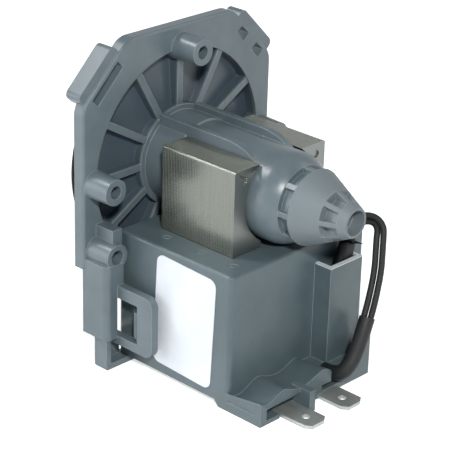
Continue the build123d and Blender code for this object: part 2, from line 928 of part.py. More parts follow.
for side, word in ((-1, "left"), (1, "right")):
    leg_y = side * leg_middle
    plate_y = side * (flange_inner_y + flange_outer_y) / 2
    plate_x = (flange_x0 + flange_x1) / 2
    plate_size = (flange_x1 - flange_x0, flange_outer_y - flange_inner_y)
    with BuildPart() as bobbin:
        for level in (bobbin_bottom, bobbin_top - bobbin_flange):
            with BuildSketch(Plane.XY.offset(level)):
                with Locations((plate_x, plate_y)):
                    RectangleRounded(*plate_size, coil_corner)
            extrude(amount=bobbin_flange)
        with BuildSketch(Plane.XY.offset(bobbin_bottom)):
            with Locations((core_middle, leg_y)):
                Rectangle(tube_length, tube_width)
        extrude(amount=bobbin_height)
        with BuildSketch(Plane.XY.offset(bobbin_bottom)):
            with Locations((core_middle, leg_y)):
                Rectangle(bobbin_inner[1], bobbin_inner[0])
        extrude(amount=bobbin_height, mode=Mode.SUBTRACT)
    save(bobbin, f"coil_bobbin_{word}")

    with BuildPart() as winding:
        wound = (plate_size[0] - 2 * coil_inset, plate_size[1] - 2 * coil_inset)
        with BuildSketch(Plane.XY.offset(bobbin_bottom + bobbin_flange)):
            with Locations((plate_x, plate_y)):
                RectangleRounded(*wound, coil_corner)
            with Locations((core_middle, leg_y)):
                Rectangle(tube_length, tube_width, mode=Mode.SUBTRACT)
        extrude(amount=bobbin_height - 2 * bobbin_flange)
    save(winding, f"coil_winding_{word}")


# Coil housing: a box round the coils, with the terminal block moulded on its front

housing_length = housing_end - housing_start
housing_middle = housing_start + housing_length / 2
leg_slot = (core_length + 2 * core_slot_gap, leg_width + 2 * core_slot_gap)
block_left = housing_width / 2
tab_low = tab_z + tab_thickness / 2


def block_section(place, top, first_hump):
    """Section of the terminal block, with a hump over each spade terminal."""
    half = hump_width / 2
    crest = -top + hump_rise
    with BuildSketch(Plane.YZ.offset(place)) as section:
        with BuildLine():
            Spline(
                (-block_left, -top),
                (first_hump - half, -top),
                (first_hump, crest),
                (first_hump + half, -top),
                (first_hump + tab_spacing - half, -top),
                (first_hump + tab_spacing, crest),
                (lead_notch_start, -top - hump_rise / 2),
            )
            Polyline(
                (lead_notch_start, -top - hump_rise / 2),
                (lead_notch_start, -base_height),
                (-block_left, -base_height),
                (-block_left, -top),
            )
        make_face()
    return section.sketch


with BuildPart() as coil_housing:
    with BuildSketch(Plane.XY.offset(-housing_bottom)):
        with Locations((housing_middle, 0)):
            Rectangle(housing_length, housing_width)
    extrude(amount=housing_bottom - housing_top)
    upright = coil_housing.edges().filter_by(Axis.Z)
    fillet(upright, housing_corner_radius)
    fillet(coil_housing.faces().sort_by(Axis.Z)[-1].edges(), housing_edge_radius)

    # Terminal block: humped part over the tabs, and the lower part beside the lead
    add(block_section(housing_end - housing_wall, block_back_top, hump_back_y))
    add(block_section(block_end, block_front_top, hump_front_y))
    loft()
    side_width = block_right - lead_notch_start
    with BuildSketch(Plane.XY.offset(-base_height)):
        with Locations(((housing_end + block_end) / 2, lead_notch_start + side_width / 2)):
            Rectangle(block_end - housing_end, side_width)
    extrude(amount=base_height - block_side_top)
    foot_width = block_left + block_right
    with BuildSketch(Plane.XZ.offset(block_left)):
        Polygon(
            (block_root - block_step, -housing_bottom),
            (block_root, -base_height),
            (housing_end, -base_height),
            (housing_end, -housing_bottom),
            align=None,
        )
    extrude(amount=-foot_width)

    # Pocket for the thermal cut-out, open at the top
    pocket_width = pocket_right - pocket_left
    pocket_y = (pocket_left + pocket_right) / 2
    with BuildSketch(Plane.XY.offset(-pocket_lip)):
        with Locations((housing_end + pocket_reach / 2, pocket_y)):
            Rectangle(pocket_reach, pocket_width)
    extrude(amount=-(block_side_top - pocket_lip))
    with BuildSketch(Plane.XY.offset(-pocket_lip)):
        with Locations((housing_end + (pocket_reach - pocket_wall) / 2, pocket_y)):
            Rectangle(pocket_reach - pocket_wall, pocket_width - 2 * pocket_wall)
    extrude(amount=-(pocket_floor - pocket_lip), mode=Mode.SUBTRACT)

    # Wall that guards the sleeve, with a gusset behind its right end
    with BuildSketch(Plane.YZ.offset(block_end)):
        Polygon(
            (lead_notch_end, -block_side_top),
            (guide_foot, -block_side_top),
            (guide_shoulder, -guide_top),
            (block_right, -guide_top),
            (block_right, -base_height),
            (lead_notch_end, -base_height),
            align=None,
        )
    extrude(amount=-guide_wall)
    with BuildSketch(Plane.XZ.offset(-block_right)):
        Polygon(
            (housing_end + pocket_reach, -block_side_top),
            (block_end - guide_wall, -guide_top),
            (block_end - guide_wall / 2, -guide_top),
            (block_end - guide_wall / 2, -base_height + pocket_wall),
            (housing_end, -base_height + pocket_wall),
            align=None,
        )
    extrude(amount=guide_gusset)

    # Divider fin between the two tabs
    with BuildSketch(Plane.XY.offset(-base_height)):
        with Locations((block_end - tab_bay_depth / 2 + divider_reach / 2, divider_y)):
            Rectangle(tab_bay_depth + divider_reach, divider_width)
    extrude(amount=base_height - divider_top)

    # Bay behind the left tab, with a corner post and a short lip under it
    bay_left = -block_left + bay_post
    bay_right = divider_y - divider_width / 2
    with BuildSketch(Plane.YZ.offset(block_end)):
        with BuildLine():
            Polyline(
                (bay_left, -tab_bay_top),
                (bay_right, -tab_bay_top),
                (bay_right, -base_height - bay_lip_height),
                (bay_left + bay_lip_width, -base_height - bay_lip_height),
                (bay_left + bay_lip_width, -base_height + bay_lip_height),
                (bay_left, -base_height + bay_lip_height),
                (bay_left, -tab_bay_top),
            )
        make_face()
    extrude(amount=-tab_bay_depth, mode=Mode.SUBTRACT)

    # Notch where the sleeve goes in, and the slot beside it over the right tab
    notch_width = lead_notch_end - lead_notch_start
    with BuildSketch(Plane.XY.offset(-lead_notch_floor)):
        with Locations((block_end, lead_notch_start + notch_width / 2)):
            Rectangle(2 * lead_notch_depth, notch_width)
    extrude(amount=lead_notch_floor - guide_top, mode=Mode.SUBTRACT)
    with BuildSketch(Plane.YZ.offset(block_end)):
        slot_height = lead_notch_floor - wire_slot_top
        with Locations(
            (
                (wire_slot_start + lead_notch_start) / 2,
                -(lead_notch_floor + wire_slot_top) / 2,
            )
        ):
            Rectangle(lead_notch_start - wire_slot_start, slot_height)
    extrude(amount=-lead_notch_depth / 2, mode=Mode.SUBTRACT)

    # Parting line along the left side of the block
    with BuildSketch(Plane.XZ.offset(block_left)):
        line_length = block_end - housing_end - bay_post
        with Locations((housing_end + line_length / 2, -block_line_z)):
            Rectangle(line_length, block_line_width)
    extrude(amount=-block_line_depth, mode=Mode.SUBTRACT)

    # Seats of the two spade terminals
    for tab_y in (tab_centre_y - tab_spacing / 2, tab_centre_y + tab_spacing / 2):
        with BuildSketch(Plane.XY.offset(-tab_low)):
            with Locations(((tab_root + block_end + tab_seat_run) / 2, tab_y)):
                Rectangle(block_end - tab_root + tab_seat_run, tab_width)
        extrude(amount=tab_thickness, mode=Mode.SUBTRACT)

    # Ring marks that the ejector pins of the mould leave in the top
    with BuildSketch(Plane.XY.offset(-housing_top)):
        with Locations(*ejector_spots):
            Circle(ejector_radius)
            Circle(ejector_radius - ejector_line, mode=Mode.SUBTRACT)
    extrude(amount=-ejector_depth, mode=Mode.SUBTRACT)

    # Latch wedges in the bracket windows
    wedge_root = (housing_width - housing_wall) / 2
    for side in (-1, 1):
        with BuildSketch(Plane.XY.offset(-wedge_bottom)):
            Polygon(
                (wedge_start, side * wedge_root),
                (wedge_start, side * housing_width / 2),
                (wedge_end - wedge_tip, side * wedge_outer_y),
                (wedge_end, side * wedge_outer_y),
                (wedge_end, side * wedge_root),
                align=None,
            )
        extrude(amount=wedge_bottom - wedge_top)

    # Room for the coils, and the slots for the core
    with BuildSketch(Plane.XY.offset(cavity_floor)):
        with Locations((housing_middle, 0)):
            Rectangle(housing_length - 2 * housing_wall, 2 * cavity_y)
    extrude(amount=cavity_top - cavity_floor, mode=Mode.SUBTRACT)
    with BuildSketch(Plane.XY.offset(-housing_bottom)):
        with Locations((core_middle, 0)):
            Rectangle(leg_slot[0], core_width + 2 * core_slot_gap)
    extrude(amount=housing_bottom + cavity_floor, mode=Mode.SUBTRACT)
    with BuildSketch(Plane.XY.offset(cavity_top)):
        with Locations((core_middle, -leg_middle), (core_middle, leg_middle)):
            Rectangle(*leg_slot)
    extrude(amount=housing_wall, mode=Mode.SUBTRACT)
save(coil_housing, "coil_housing")


# Spade terminals

for side, word in ((-1, "left"), (1, "right")):
    tab_y = tab_centre_y + side * tab_spacing / 2
    with BuildPart() as terminal:
        with BuildSketch(Plane.XY.offset(-tab_low)) as blade:
            with Locations(((tab_root + tab_tip) / 2, tab_y)):
                Rectangle(tab_tip - tab_root, tab_width)
            tip_corners = blade.vertices().sort_by(Axis.X)[-2:]
            chamfer(tip_corners, tab_chamfer, tab_chamfer_side)
            with Locations((tab_tip - tab_hole_from_tip, tab_y)):
                Circle(tab_hole_radius, mode=Mode.SUBTRACT)
        extrude(amount=tab_thickness)
    save(terminal, f"terminal_{word}")


# Thermal cut-out, leaning in its pocket

lean = radians(cutout_lean)
cutout_foot = (cutout_x, cutout_foot_y, -cutout_foot_z)
cutout_plane = Plane(cutout_foot, x_dir=(1, 0, 0), z_dir=(0, sin(lean), cos(lean)))
with BuildPart() as thermal_cutout:
    with BuildSketch(cutout_plane):
        RectangleRounded(cutout_thickness, cutout_width, cutout_corner_radius)
    extrude(amount=cutout_length)
save(thermal_cutout, "thermal_cutout")


# Label on the left side of the housing, left bare

label_plane = Plane(
    (label_x, -housing_width / 2, -label_z),
    x_dir=(cos(radians(label_turn)), 0, -sin(radians(label_turn))),
    z_dir=(0, -1, 0),
)
with BuildPart() as rating_label:
    with BuildSketch(label_plane):
        RectangleRounded(label_width, label_height, label_radius)
    extrude(amount=label_thickness)
save(rating_label, "rating_label")


# Leads from the cut-out into the terminal block, and the sleeve over them


def corner_radii(route):
    """Largest arc that fits at each corner of a route."""
    spots = [Vector(*spot) for spot in route]
    radii = []
    for before, corner, after in zip(spots, spots[1:], spots[2:]):
        run_in = corner - before
        run_out = after - corner
        turn = radians(run_in.get_angle(run_out))
        shorter = min(run_in.length, run_out.length)
        radii.append(lead_arc_share * shorter / tan(turn / 2))
    return radii


def beside(route, shift):
    """Route moved sideways, for a strand that lies beside its twin."""
    spots = [Vector(*spot) for spot in route]
    moved = []
    for index, spot in enumerate(spots):
        ahead = spots[min(index + 1, len(spots) - 1)]
        behind = spots[max(index - 1, 0)]
        sideways = (ahead - behind).cross(Vector(*lead_side)).normalized()
        moved.append(spot + sideways * shift)
    return moved


def tube(route, radii, outer, bore, name):
    """Tube along a route of straight runs joined by tangent arcs."""
    with BuildPart() as made:
        with BuildLine():
            path = FilletPolyline(*route, radius=radii)
        with BuildSketch(Plane(origin=path @ 0, z_dir=path % 0)):
            Circle(outer)
            if bore:
                Circle(bore, mode=Mode.SUBTRACT)
        sweep(path=path)
    section = pi * (outer**2 - bore**2)
    print(name, "radii", [round(radius, 1) for radius in radii])
    print(name, "length", round(path.length, 1), end=" ")
    print("volume", round(made.part.volume, 1), "of", round(section * path.length, 1))
    save(made, name)


for number, shift in ((1, -lead_pitch / 2), (2, lead_pitch / 2)):
    strand = beside(lead_route, shift)
    tube(strand, corner_radii(strand), lead_diameter / 2, 0, f"cutout_lead_{number}")

last_bare = Vector(*lead_route[bare_point_count - 1])
first_covered = Vector(*lead_route[bare_point_count])
sleeve_route = [(last_bare + first_covered) * 0.5, *lead_route[bare_point_count:]]
sleeve_radii = corner_radii(lead_route)[bare_point_count - 1 :]
tube(sleeve_route, sleeve_radii, sleeve_radius, sleeve_bore_radius, "lead_sleeve")
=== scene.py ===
# %% [markdown]
# # A dishwasher drain pump, dressed for its photograph
# The CAD model already holds every rigid part of the pump at its real size and place.
# This lesson adds what a camera sees: light, surface finish, the sheets of the laminated core,
# the thermal cut-out in its film, and the two soft leads with their sleeve.
# Loading the frame comes first, because each later piece takes its place from it. The box of
# the bare CAD model is kept too: the floor and the lamps take their places from it.

# %% Load the frame
import json
from math import cos, radians, sin

import bpy
from mathutils import Matrix, Vector


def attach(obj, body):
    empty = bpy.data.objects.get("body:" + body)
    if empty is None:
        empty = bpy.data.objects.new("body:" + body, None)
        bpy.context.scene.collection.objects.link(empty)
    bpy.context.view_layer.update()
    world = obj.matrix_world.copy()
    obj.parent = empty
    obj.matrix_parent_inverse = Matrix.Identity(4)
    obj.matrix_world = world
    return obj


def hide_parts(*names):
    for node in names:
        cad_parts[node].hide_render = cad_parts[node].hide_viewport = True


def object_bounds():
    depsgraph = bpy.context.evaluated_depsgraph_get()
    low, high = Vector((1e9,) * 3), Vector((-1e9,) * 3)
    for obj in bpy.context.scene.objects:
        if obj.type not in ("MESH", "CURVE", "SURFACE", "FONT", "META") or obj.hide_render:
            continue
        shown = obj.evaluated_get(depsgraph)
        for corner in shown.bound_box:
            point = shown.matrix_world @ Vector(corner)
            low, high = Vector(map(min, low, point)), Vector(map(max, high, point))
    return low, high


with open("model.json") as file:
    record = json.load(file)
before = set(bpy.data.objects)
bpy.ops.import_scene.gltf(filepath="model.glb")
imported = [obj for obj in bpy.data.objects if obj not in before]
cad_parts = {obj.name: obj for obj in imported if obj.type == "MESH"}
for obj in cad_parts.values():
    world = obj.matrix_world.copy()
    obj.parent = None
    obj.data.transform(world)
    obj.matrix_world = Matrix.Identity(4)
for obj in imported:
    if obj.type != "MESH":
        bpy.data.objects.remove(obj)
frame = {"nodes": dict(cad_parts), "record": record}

MM = 0.001
nodes = frame["nodes"]
cad_low, cad_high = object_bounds()
cad_centre = (cad_low + cad_high) / 2
print("CAD nodes:", len(nodes))
print("CAD size in mm:", [round(side / MM, 1) for side in cad_high - cad_low])


# %% [markdown]
# ## Camera
# A product photograph is rarely taken straight on. Here the camera looks down by 24 degrees
# and stands well back with a long lens, so that parallel edges stay nearly parallel.
# A camera in Blender looks along its own -Z, with +Y up in the picture. So the three axes of
# the view are worked out first, and become the columns of the camera's rotation matrix.

# %% Place the camera
VIEW_AZIMUTH = radians(43.33)
VIEW_ELEVATION = radians(24.04)
VIEW_ROLL = radians(1.66)
VIEW_DISTANCE = 415.85 * MM
AIM_RIGHT = 10.69 * MM
AIM_UP = -16.60 * MM
LENS_LENGTH = 142.6
SENSOR_WIDTH = 36.0

view_back = Vector(
    (
        sin(VIEW_AZIMUTH) * cos(VIEW_ELEVATION),
        -cos(VIEW_AZIMUTH) * cos(VIEW_ELEVATION),
        sin(VIEW_ELEVATION),
    )
)
level_right = Vector((cos(VIEW_AZIMUTH), sin(VIEW_AZIMUTH), 0))
level_up = view_back.cross(level_right)
view_right = level_right * cos(VIEW_ROLL) + level_up * sin(VIEW_ROLL)
view_up = level_up * cos(VIEW_ROLL) - level_right * sin(VIEW_ROLL)
view_turn = Matrix((view_right, view_up, view_back)).transposed()

bpy.ops.object.camera_add(
    location=view_right * AIM_RIGHT + view_up * AIM_UP + view_back * VIEW_DISTANCE,
    rotation=view_turn.to_euler(),
)
camera = bpy.context.object
camera.name = "photo_camera"
camera.data.lens = LENS_LENGTH
camera.data.sensor_width = SENSOR_WIDTH
bpy.context.scene.camera = camera
print("Camera at", [round(place / MM, 1) for place in camera.location], "mm")


# %% [markdown]
# ## Small helpers for materials
# A Blender material is a graph of nodes. Building one takes the same few calls each time: make a
# node, set its values, link a socket. The helpers below keep the later cells short.
# Colours are written as they look on a screen, from 0 to 255. The renderer works with linear
# light, so each colour is converted once, here.

# %% Helpers for materials


def screen_colour(red, green, blue):
    """Linear colour of a screen colour given from 0 to 255."""
    linear = []
    for value in (red, green, blue):
        share = value / 255
        low = share <= 0.04045
        linear.append(share / 12.92 if low else ((share + 0.055) / 1.055) ** 2.4)
    return (*linear, 1.0)


def add_node(tree, kind, values=None, **settings):
    """New node of a tree, with its settings and the values of its input sockets."""
    node = tree.nodes.new(kind)
    for name, value in settings.items():
        setattr(node, name, value)
    for name, value in (values or {}).items():
        node.inputs[name].default_value = value
    return node


def join(tree, *pairs):
    """Link each (output socket, input socket) pair."""
    for source, target in pairs:
        tree.links.new(source, target)


def empty_material(name):
    """Material with no nodes but its output, and that output's surface socket."""
    made = bpy.data.materials.new(name)
    made.use_nodes = True
    made.node_tree.nodes.clear()
    output = made.node_tree.nodes.new("ShaderNodeOutputMaterial")
    return made, made.node_tree, output.inputs["Surface"]


print("A mid grey of 128 is", round(screen_colour(128, 128, 128)[0], 3), "in linear light")


# %% [markdown]
# ## Floor
# The photograph shows the pump on pure white. More light would also wash out the pump, so the
# floor is made white only where it is seen or mirrored. The Light Path node tells what kind of
# ray has arrived: for camera, glossy and transmission rays the floor glows a little on top of its
# own pale colour, and all other rays meet a plain pale floor. The lit part of the floor still
# darkens under the pump, so a soft contact shadow stays. Farther out, where the lamps hardly
# reach, the glow rises to full white.

# %% Floor
FLOOR_SIZE = 8.0
FLOOR_COLOUR = screen_colour(238, 238, 238)
FLOOR_GLOW = 0.62
LIT_RADIUS = 0.3
WHITE_RADIUS = 1.5


def seen_rays(tree, path):
    """Output that is 1 for camera, glossy and transmission rays, from a Light Path node."""
    camera_or_glossy = add_node(tree, "ShaderNodeMath", operation="MAXIMUM")
    seen = add_node(tree, "ShaderNodeMath", operation="MAXIMUM")
    join(
        tree,
        (path.outputs["Is Camera Ray"], camera_or_glossy.inputs[0]),
        (path.outputs["Is Glossy Ray"], camera_or_glossy.inputs[1]),
        (camera_or_glossy.outputs[0], seen.inputs[0]),
        (path.outputs["Is Transmission Ray"], seen.inputs[1]),
    )
    return seen.outputs[0]


bpy.ops.object.select_all(action="DESELECT")
bpy.ops.mesh.primitive_plane_add(size=FLOOR_SIZE, location=(0, 0, cad_low.z))
floor = bpy.context.object
floor.name = "studio_floor"
floor_material, tree, surface = empty_material("pale_floor")
paint = add_node(tree, "ShaderNodeBsdfDiffuse", {"Color": FLOOR_COLOUR})
place = add_node(tree, "ShaderNodeTexCoord")
far_out = add_node(tree, "ShaderNodeVectorMath", operation="LENGTH")
glow_rise = add_node(
    tree,
    "ShaderNodeMapRange",
    {"From Min": LIT_RADIUS, "From Max": WHITE_RADIUS, "To Min": FLOOR_GLOW, "To Max": 1.0},
)
glow = add_node(tree, "ShaderNodeEmission")
path = add_node(tree, "ShaderNodeLightPath")
lit_floor = add_node(tree, "ShaderNodeAddShader")
chosen = add_node(tree, "ShaderNodeMixShader")
join(
    tree,
    (place.outputs["Object"], far_out.inputs[0]),
    (far_out.outputs["Value"], glow_rise.inputs["Value"]),
    (glow_rise.outputs[0], glow.inputs["Strength"]),
    (paint.outputs[0], lit_floor.inputs[0]),
    (glow.outputs[0], lit_floor.inputs[1]),
    (seen_rays(tree, path), chosen.inputs[0]),
    (paint.outputs[0], chosen.inputs[1]),
    (lit_floor.outputs[0], chosen.inputs[2]),
    (chosen.outputs[0], surface),
)
floor.data.materials.append(floor_material)
print("Floor at", round(cad_low.z / MM, 2), "mm")


# %% [markdown]
# ## Light
# The photograph tells where its lights stood. Each screw boss throws a small, sharp, dark
# crescent just below itself, so the main light is a flash a little above the camera. The sides
# that face left are brighter than the flash alone makes them, so a wide, low soft box stands
# there. The gleams along the bosses, the shoulder and the top edge of the core all mirror one
# more light, high behind the pump. A fourth, weak box on the right fills the sides that the
# flash doesn't reach. Nearly no other light falls on the pump, which keeps the shadows deep.
# White paper behind the pump rises out of the picture. The camera sees it as plain white, and
# smooth surfaces mirror it, brightest near the horizon. It gives the pump hardly any light, so
# the world tells these rays apart from all others.

# %% Light
WORLD_COLOUR = screen_colour(196, 214, 232)
WORLD_STRENGTH = 0.12
PAPER_TOP = 0.65


def soft_box(name, toward, distance, size, power, colour):
    """Square area light that stands in a direction from the pump and looks at it."""
    direction = Vector(toward).normalized()
    bpy.ops.object.light_add(
        type="AREA",
        location=cad_centre + direction * distance,
        rotation=direction.to_track_quat("Z", "Y").to_euler(),
    )
    lamp = bpy.context.object
    lamp.name = name
    lamp.data.size = size
    lamp.data.energy = power
    lamp.data.color = screen_colour(*colour)[:3]
    print(name, "at", [round(place, 2) for place in lamp.location], "m")


world = bpy.data.worlds.new("soft_studio")
world.use_nodes = True
tree = world.node_tree
background = tree.nodes["Background"]
background.inputs["Color"].default_value = WORLD_COLOUR
background.inputs["Strength"].default_value = WORLD_STRENGTH
direction = add_node(tree, "ShaderNodeTexCoord")
height = add_node(tree, "ShaderNodeSeparateXYZ")
paper = add_node(
    tree,
    "ShaderNodeMapRange",
    {"From Max": PAPER_TOP, "To Min": 1.0, "To Max": WORLD_STRENGTH},
)
paper_strength = add_node(tree, "ShaderNodeMath", operation="MAXIMUM")
white_paper = add_node(tree, "ShaderNodeBackground", {"Color": (1.0, 1.0, 1.0, 1.0)})
path = add_node(tree, "ShaderNodeLightPath")
seen_world = add_node(tree, "ShaderNodeMixShader")
join(
    tree,
    (direction.outputs["Generated"], height.inputs[0]),
    (height.outputs["Z"], paper.inputs["Value"]),
    (paper.outputs[0], paper_strength.inputs[0]),
    (path.outputs["Is Camera Ray"], paper_strength.inputs[1]),
    (paper_strength.outputs[0], white_paper.inputs["Strength"]),
    (seen_rays(tree, path), seen_world.inputs[0]),
    (background.outputs[0], seen_world.inputs[1]),
    (white_paper.outputs[0], seen_world.inputs[2]),
    (seen_world.outputs[0], tree.nodes["World Output"].inputs["Surface"]),
)
bpy.context.scene.world = world
bpy.context.scene.view_settings.view_transform = "Standard"

soft_box(
    "flash", toward=(0.618, -0.53, 0.579), distance=0.70,
    size=0.05, power=3.8, colour=(255, 255, 250),
)
soft_box(
    "left_soft_box", toward=(-0.50, -0.85, 0.18), distance=0.60,
    size=0.40, power=1.5, colour=(255, 255, 255),
)
soft_box(
    "back_soft_box", toward=(-0.55, -0.35, 0.75), distance=0.70,
    size=0.16, power=1.9, colour=(255, 255, 255),
)
soft_box(
    "right_soft_box", toward=(0.42, 0.70, 0.58), distance=0.70,
    size=0.40, power=1.1, colour=(255, 252, 244),
)


# %% [markdown]
# ## Moulded grain
# A moulded plastic part copies the fine spark-eroded surface of its steel mould. Close up that
# is a carpet of tiny bumps, and over larger areas the gloss varies, where the melt cooled faster
# or slower. A node group holds both patterns, so that every plastic can use them at its own
# scale. The group only puts out values: the shader stays in each material.

# %% Node group: moulded grain


def new_group(name, inputs, outputs):
    """Shader node group with its sockets, as (group, input node, output node)."""
    group = bpy.data.node_groups.new(name, "ShaderNodeTree")
    for label, kind, start in inputs:
        socket = group.interface.new_socket(label, in_out="INPUT", socket_type=kind)
        if start is not None:
            socket.default_value = start
    for label, kind in outputs:
        group.interface.new_socket(label, in_out="OUTPUT", socket_type=kind)
    entry = group.nodes.new("NodeGroupInput")
    leave = group.nodes.new("NodeGroupOutput")
    return group, entry, leave


FLOAT, VECTOR = "NodeSocketFloat", "NodeSocketVector"
NOISE_SHARE = 0.5

grain, entry, leave = new_group(
    "moulded_grain",
    [("Vector", VECTOR, None), ("Grain Scale", FLOAT, 5000.0), ("Cloud Scale", FLOAT, 120.0)],
    [("Height", FLOAT), ("Cloud", FLOAT)],
)
bumps = add_node(grain, "ShaderNodeTexNoise", {"Detail": 2.0, "Roughness": 0.6})
pits = add_node(grain, "ShaderNodeTexVoronoi", feature="SMOOTH_F1")
grain_height = add_node(grain, "ShaderNodeMath", {1: NOISE_SHARE}, operation="MULTIPLY_ADD")
cloud = add_node(grain, "ShaderNodeTexNoise", {"Detail": 3.0, "Roughness": 0.55})
cloud_share = add_node(grain, "ShaderNodeMapRange", {"From Min": 0.35, "From Max": 0.65})
join(
    grain,
    (entry.outputs["Vector"], bumps.inputs["Vector"]),
    (entry.outputs["Vector"], pits.inputs["Vector"]),
    (entry.outputs["Vector"], cloud.inputs["Vector"]),
    (entry.outputs["Grain Scale"], bumps.inputs["Scale"]),
    (entry.outputs["Grain Scale"], pits.inputs["Scale"]),
    (entry.outputs["Cloud Scale"], cloud.inputs["Scale"]),
    (bumps.outputs[0], grain_height.inputs[0]),
    (pits.outputs["Distance"], grain_height.inputs[2]),
    (grain_height.outputs[0], leave.inputs["Height"]),
    (cloud.outputs[0], cloud_share.inputs["Value"]),
    (cloud_share.outputs[0], leave.inputs["Cloud"]),
)
print("Group", grain.name, "has", len(grain.nodes), "nodes")


# %% [markdown]
# ## Rounded edges
# No real edge is perfectly sharp, and the thin bright line along an edge is what makes small
# parts look moulded and not cut out. The Bevel node bends the normal near an edge as if it had
# a small radius. Where that normal differs from the surface's own, there is an edge, and the
# difference is a mask for a paler tint: partly wear where plastic is handled, partly a painted
# highlight along the edge.

# %% Node group: rounded edges
edges, entry, leave = new_group(
    "rounded_edges",
    [("Radius", FLOAT, 0.0003)],
    [("Normal", VECTOR), ("Edge", FLOAT)],
)
softened = add_node(edges, "ShaderNodeBevel", samples=6)
own_surface = add_node(edges, "ShaderNodeNewGeometry")
agreement = add_node(edges, "ShaderNodeVectorMath", operation="DOT_PRODUCT")
edge_share = add_node(
    edges,
    "ShaderNodeMapRange",
    {"From Min": 0.998, "From Max": 0.86, "To Min": 0.0, "To Max": 1.0},
)
join(
    edges,
    (entry.outputs["Radius"], softened.inputs["Radius"]),
    (softened.outputs[0], agreement.inputs[0]),
    (own_surface.outputs["Normal"], agreement.inputs[1]),
    (agreement.outputs["Value"], edge_share.inputs["Value"]),
    (softened.outputs[0], leave.inputs["Normal"]),
    (edge_share.outputs[0], leave.inputs["Edge"]),
)
print("Group", edges.name, "has", len(edges.nodes), "nodes")


# %% [markdown]
# ## Drawn metal
# Shafts, tabs and sheet steel keep fine parallel lines from drawing, rolling or grinding. A noise
# texture that is squeezed in one direction gives such lines. The Vector socket takes coordinates
# that a Mapping node in each material has already stretched along the metal's own direction.

# %% Node group: drawn lines
drawn, entry, leave = new_group(
    "drawn_lines",
    [("Vector", VECTOR, None), ("Scale", FLOAT, 60.0)],
    [("Height", FLOAT), ("Streak", FLOAT)],
)
lines = add_node(drawn, "ShaderNodeTexNoise", {"Detail": 5.0, "Roughness": 0.7})
streak = add_node(drawn, "ShaderNodeMapRange", {"From Min": 0.3, "From Max": 0.7})
join(
    drawn,
    (entry.outputs["Vector"], lines.inputs["Vector"]),
    (entry.outputs["Scale"], lines.inputs["Scale"]),
    (lines.outputs[0], leave.inputs["Height"]),
    (lines.outputs[0], streak.inputs["Value"]),
    (streak.outputs[0], leave.inputs["Streak"]),
)
print("Group", drawn.name, "has", len(drawn.nodes), "nodes")


# %% [markdown]
# ## Painted shade in the recess
# The ring-shaped recess of the flange lies in shade, and is painted darker and bluer than the
# plate round it: a painted shade. A node group finds the place from the object's own
# coordinates: nearer to the pump's axis than the recess wall, farther than the hub, and behind
# the tops of the ribs. It puts out 1 in the recess and 0 elsewhere.

# %% Node group: recess mask
recess, entry, leave = new_group(
    "recess_shade_mask",
    [
        ("Vector", VECTOR, None),
        ("Outer Radius", FLOAT, 0.02605),
        ("Inner Radius", FLOAT, 0.0115),
        ("Front", FLOAT, -0.0009),
    ],
    [("Mask", FLOAT)],
)
parts = add_node(recess, "ShaderNodeSeparateXYZ")
across = add_node(recess, "ShaderNodeCombineXYZ")
distance = add_node(recess, "ShaderNodeVectorMath", operation="LENGTH")
within = add_node(recess, "ShaderNodeMath", operation="LESS_THAN")
beyond = add_node(recess, "ShaderNodeMath", operation="GREATER_THAN")
sunk = add_node(recess, "ShaderNodeMath", operation="LESS_THAN")
ring = add_node(recess, "ShaderNodeMath", operation="MULTIPLY")
mask = add_node(recess, "ShaderNodeMath", operation="MULTIPLY")
join(
    recess,
    (entry.outputs["Vector"], parts.inputs[0]),
    (parts.outputs["Y"], across.inputs["Y"]),
    (parts.outputs["Z"], across.inputs["Z"]),
    (across.outputs[0], distance.inputs[0]),
    (distance.outputs["Value"], within.inputs[0]),
    (entry.outputs["Outer Radius"], within.inputs[1]),
    (distance.outputs["Value"], beyond.inputs[0]),
    (entry.outputs["Inner Radius"], beyond.inputs[1]),
    (parts.outputs["X"], sunk.inputs[0]),
    (entry.outputs["Front"], sunk.inputs[1]),
    (within.outputs[0], ring.inputs[0]),
    (beyond.outputs[0], ring.inputs[1]),
    (ring.outputs[0], mask.inputs[0]),
    (sunk.outputs[0], mask.inputs[1]),
    (mask.outputs[0], leave.inputs["Mask"]),
)
print("Group", recess.name, "has", len(recess.nodes), "nodes")
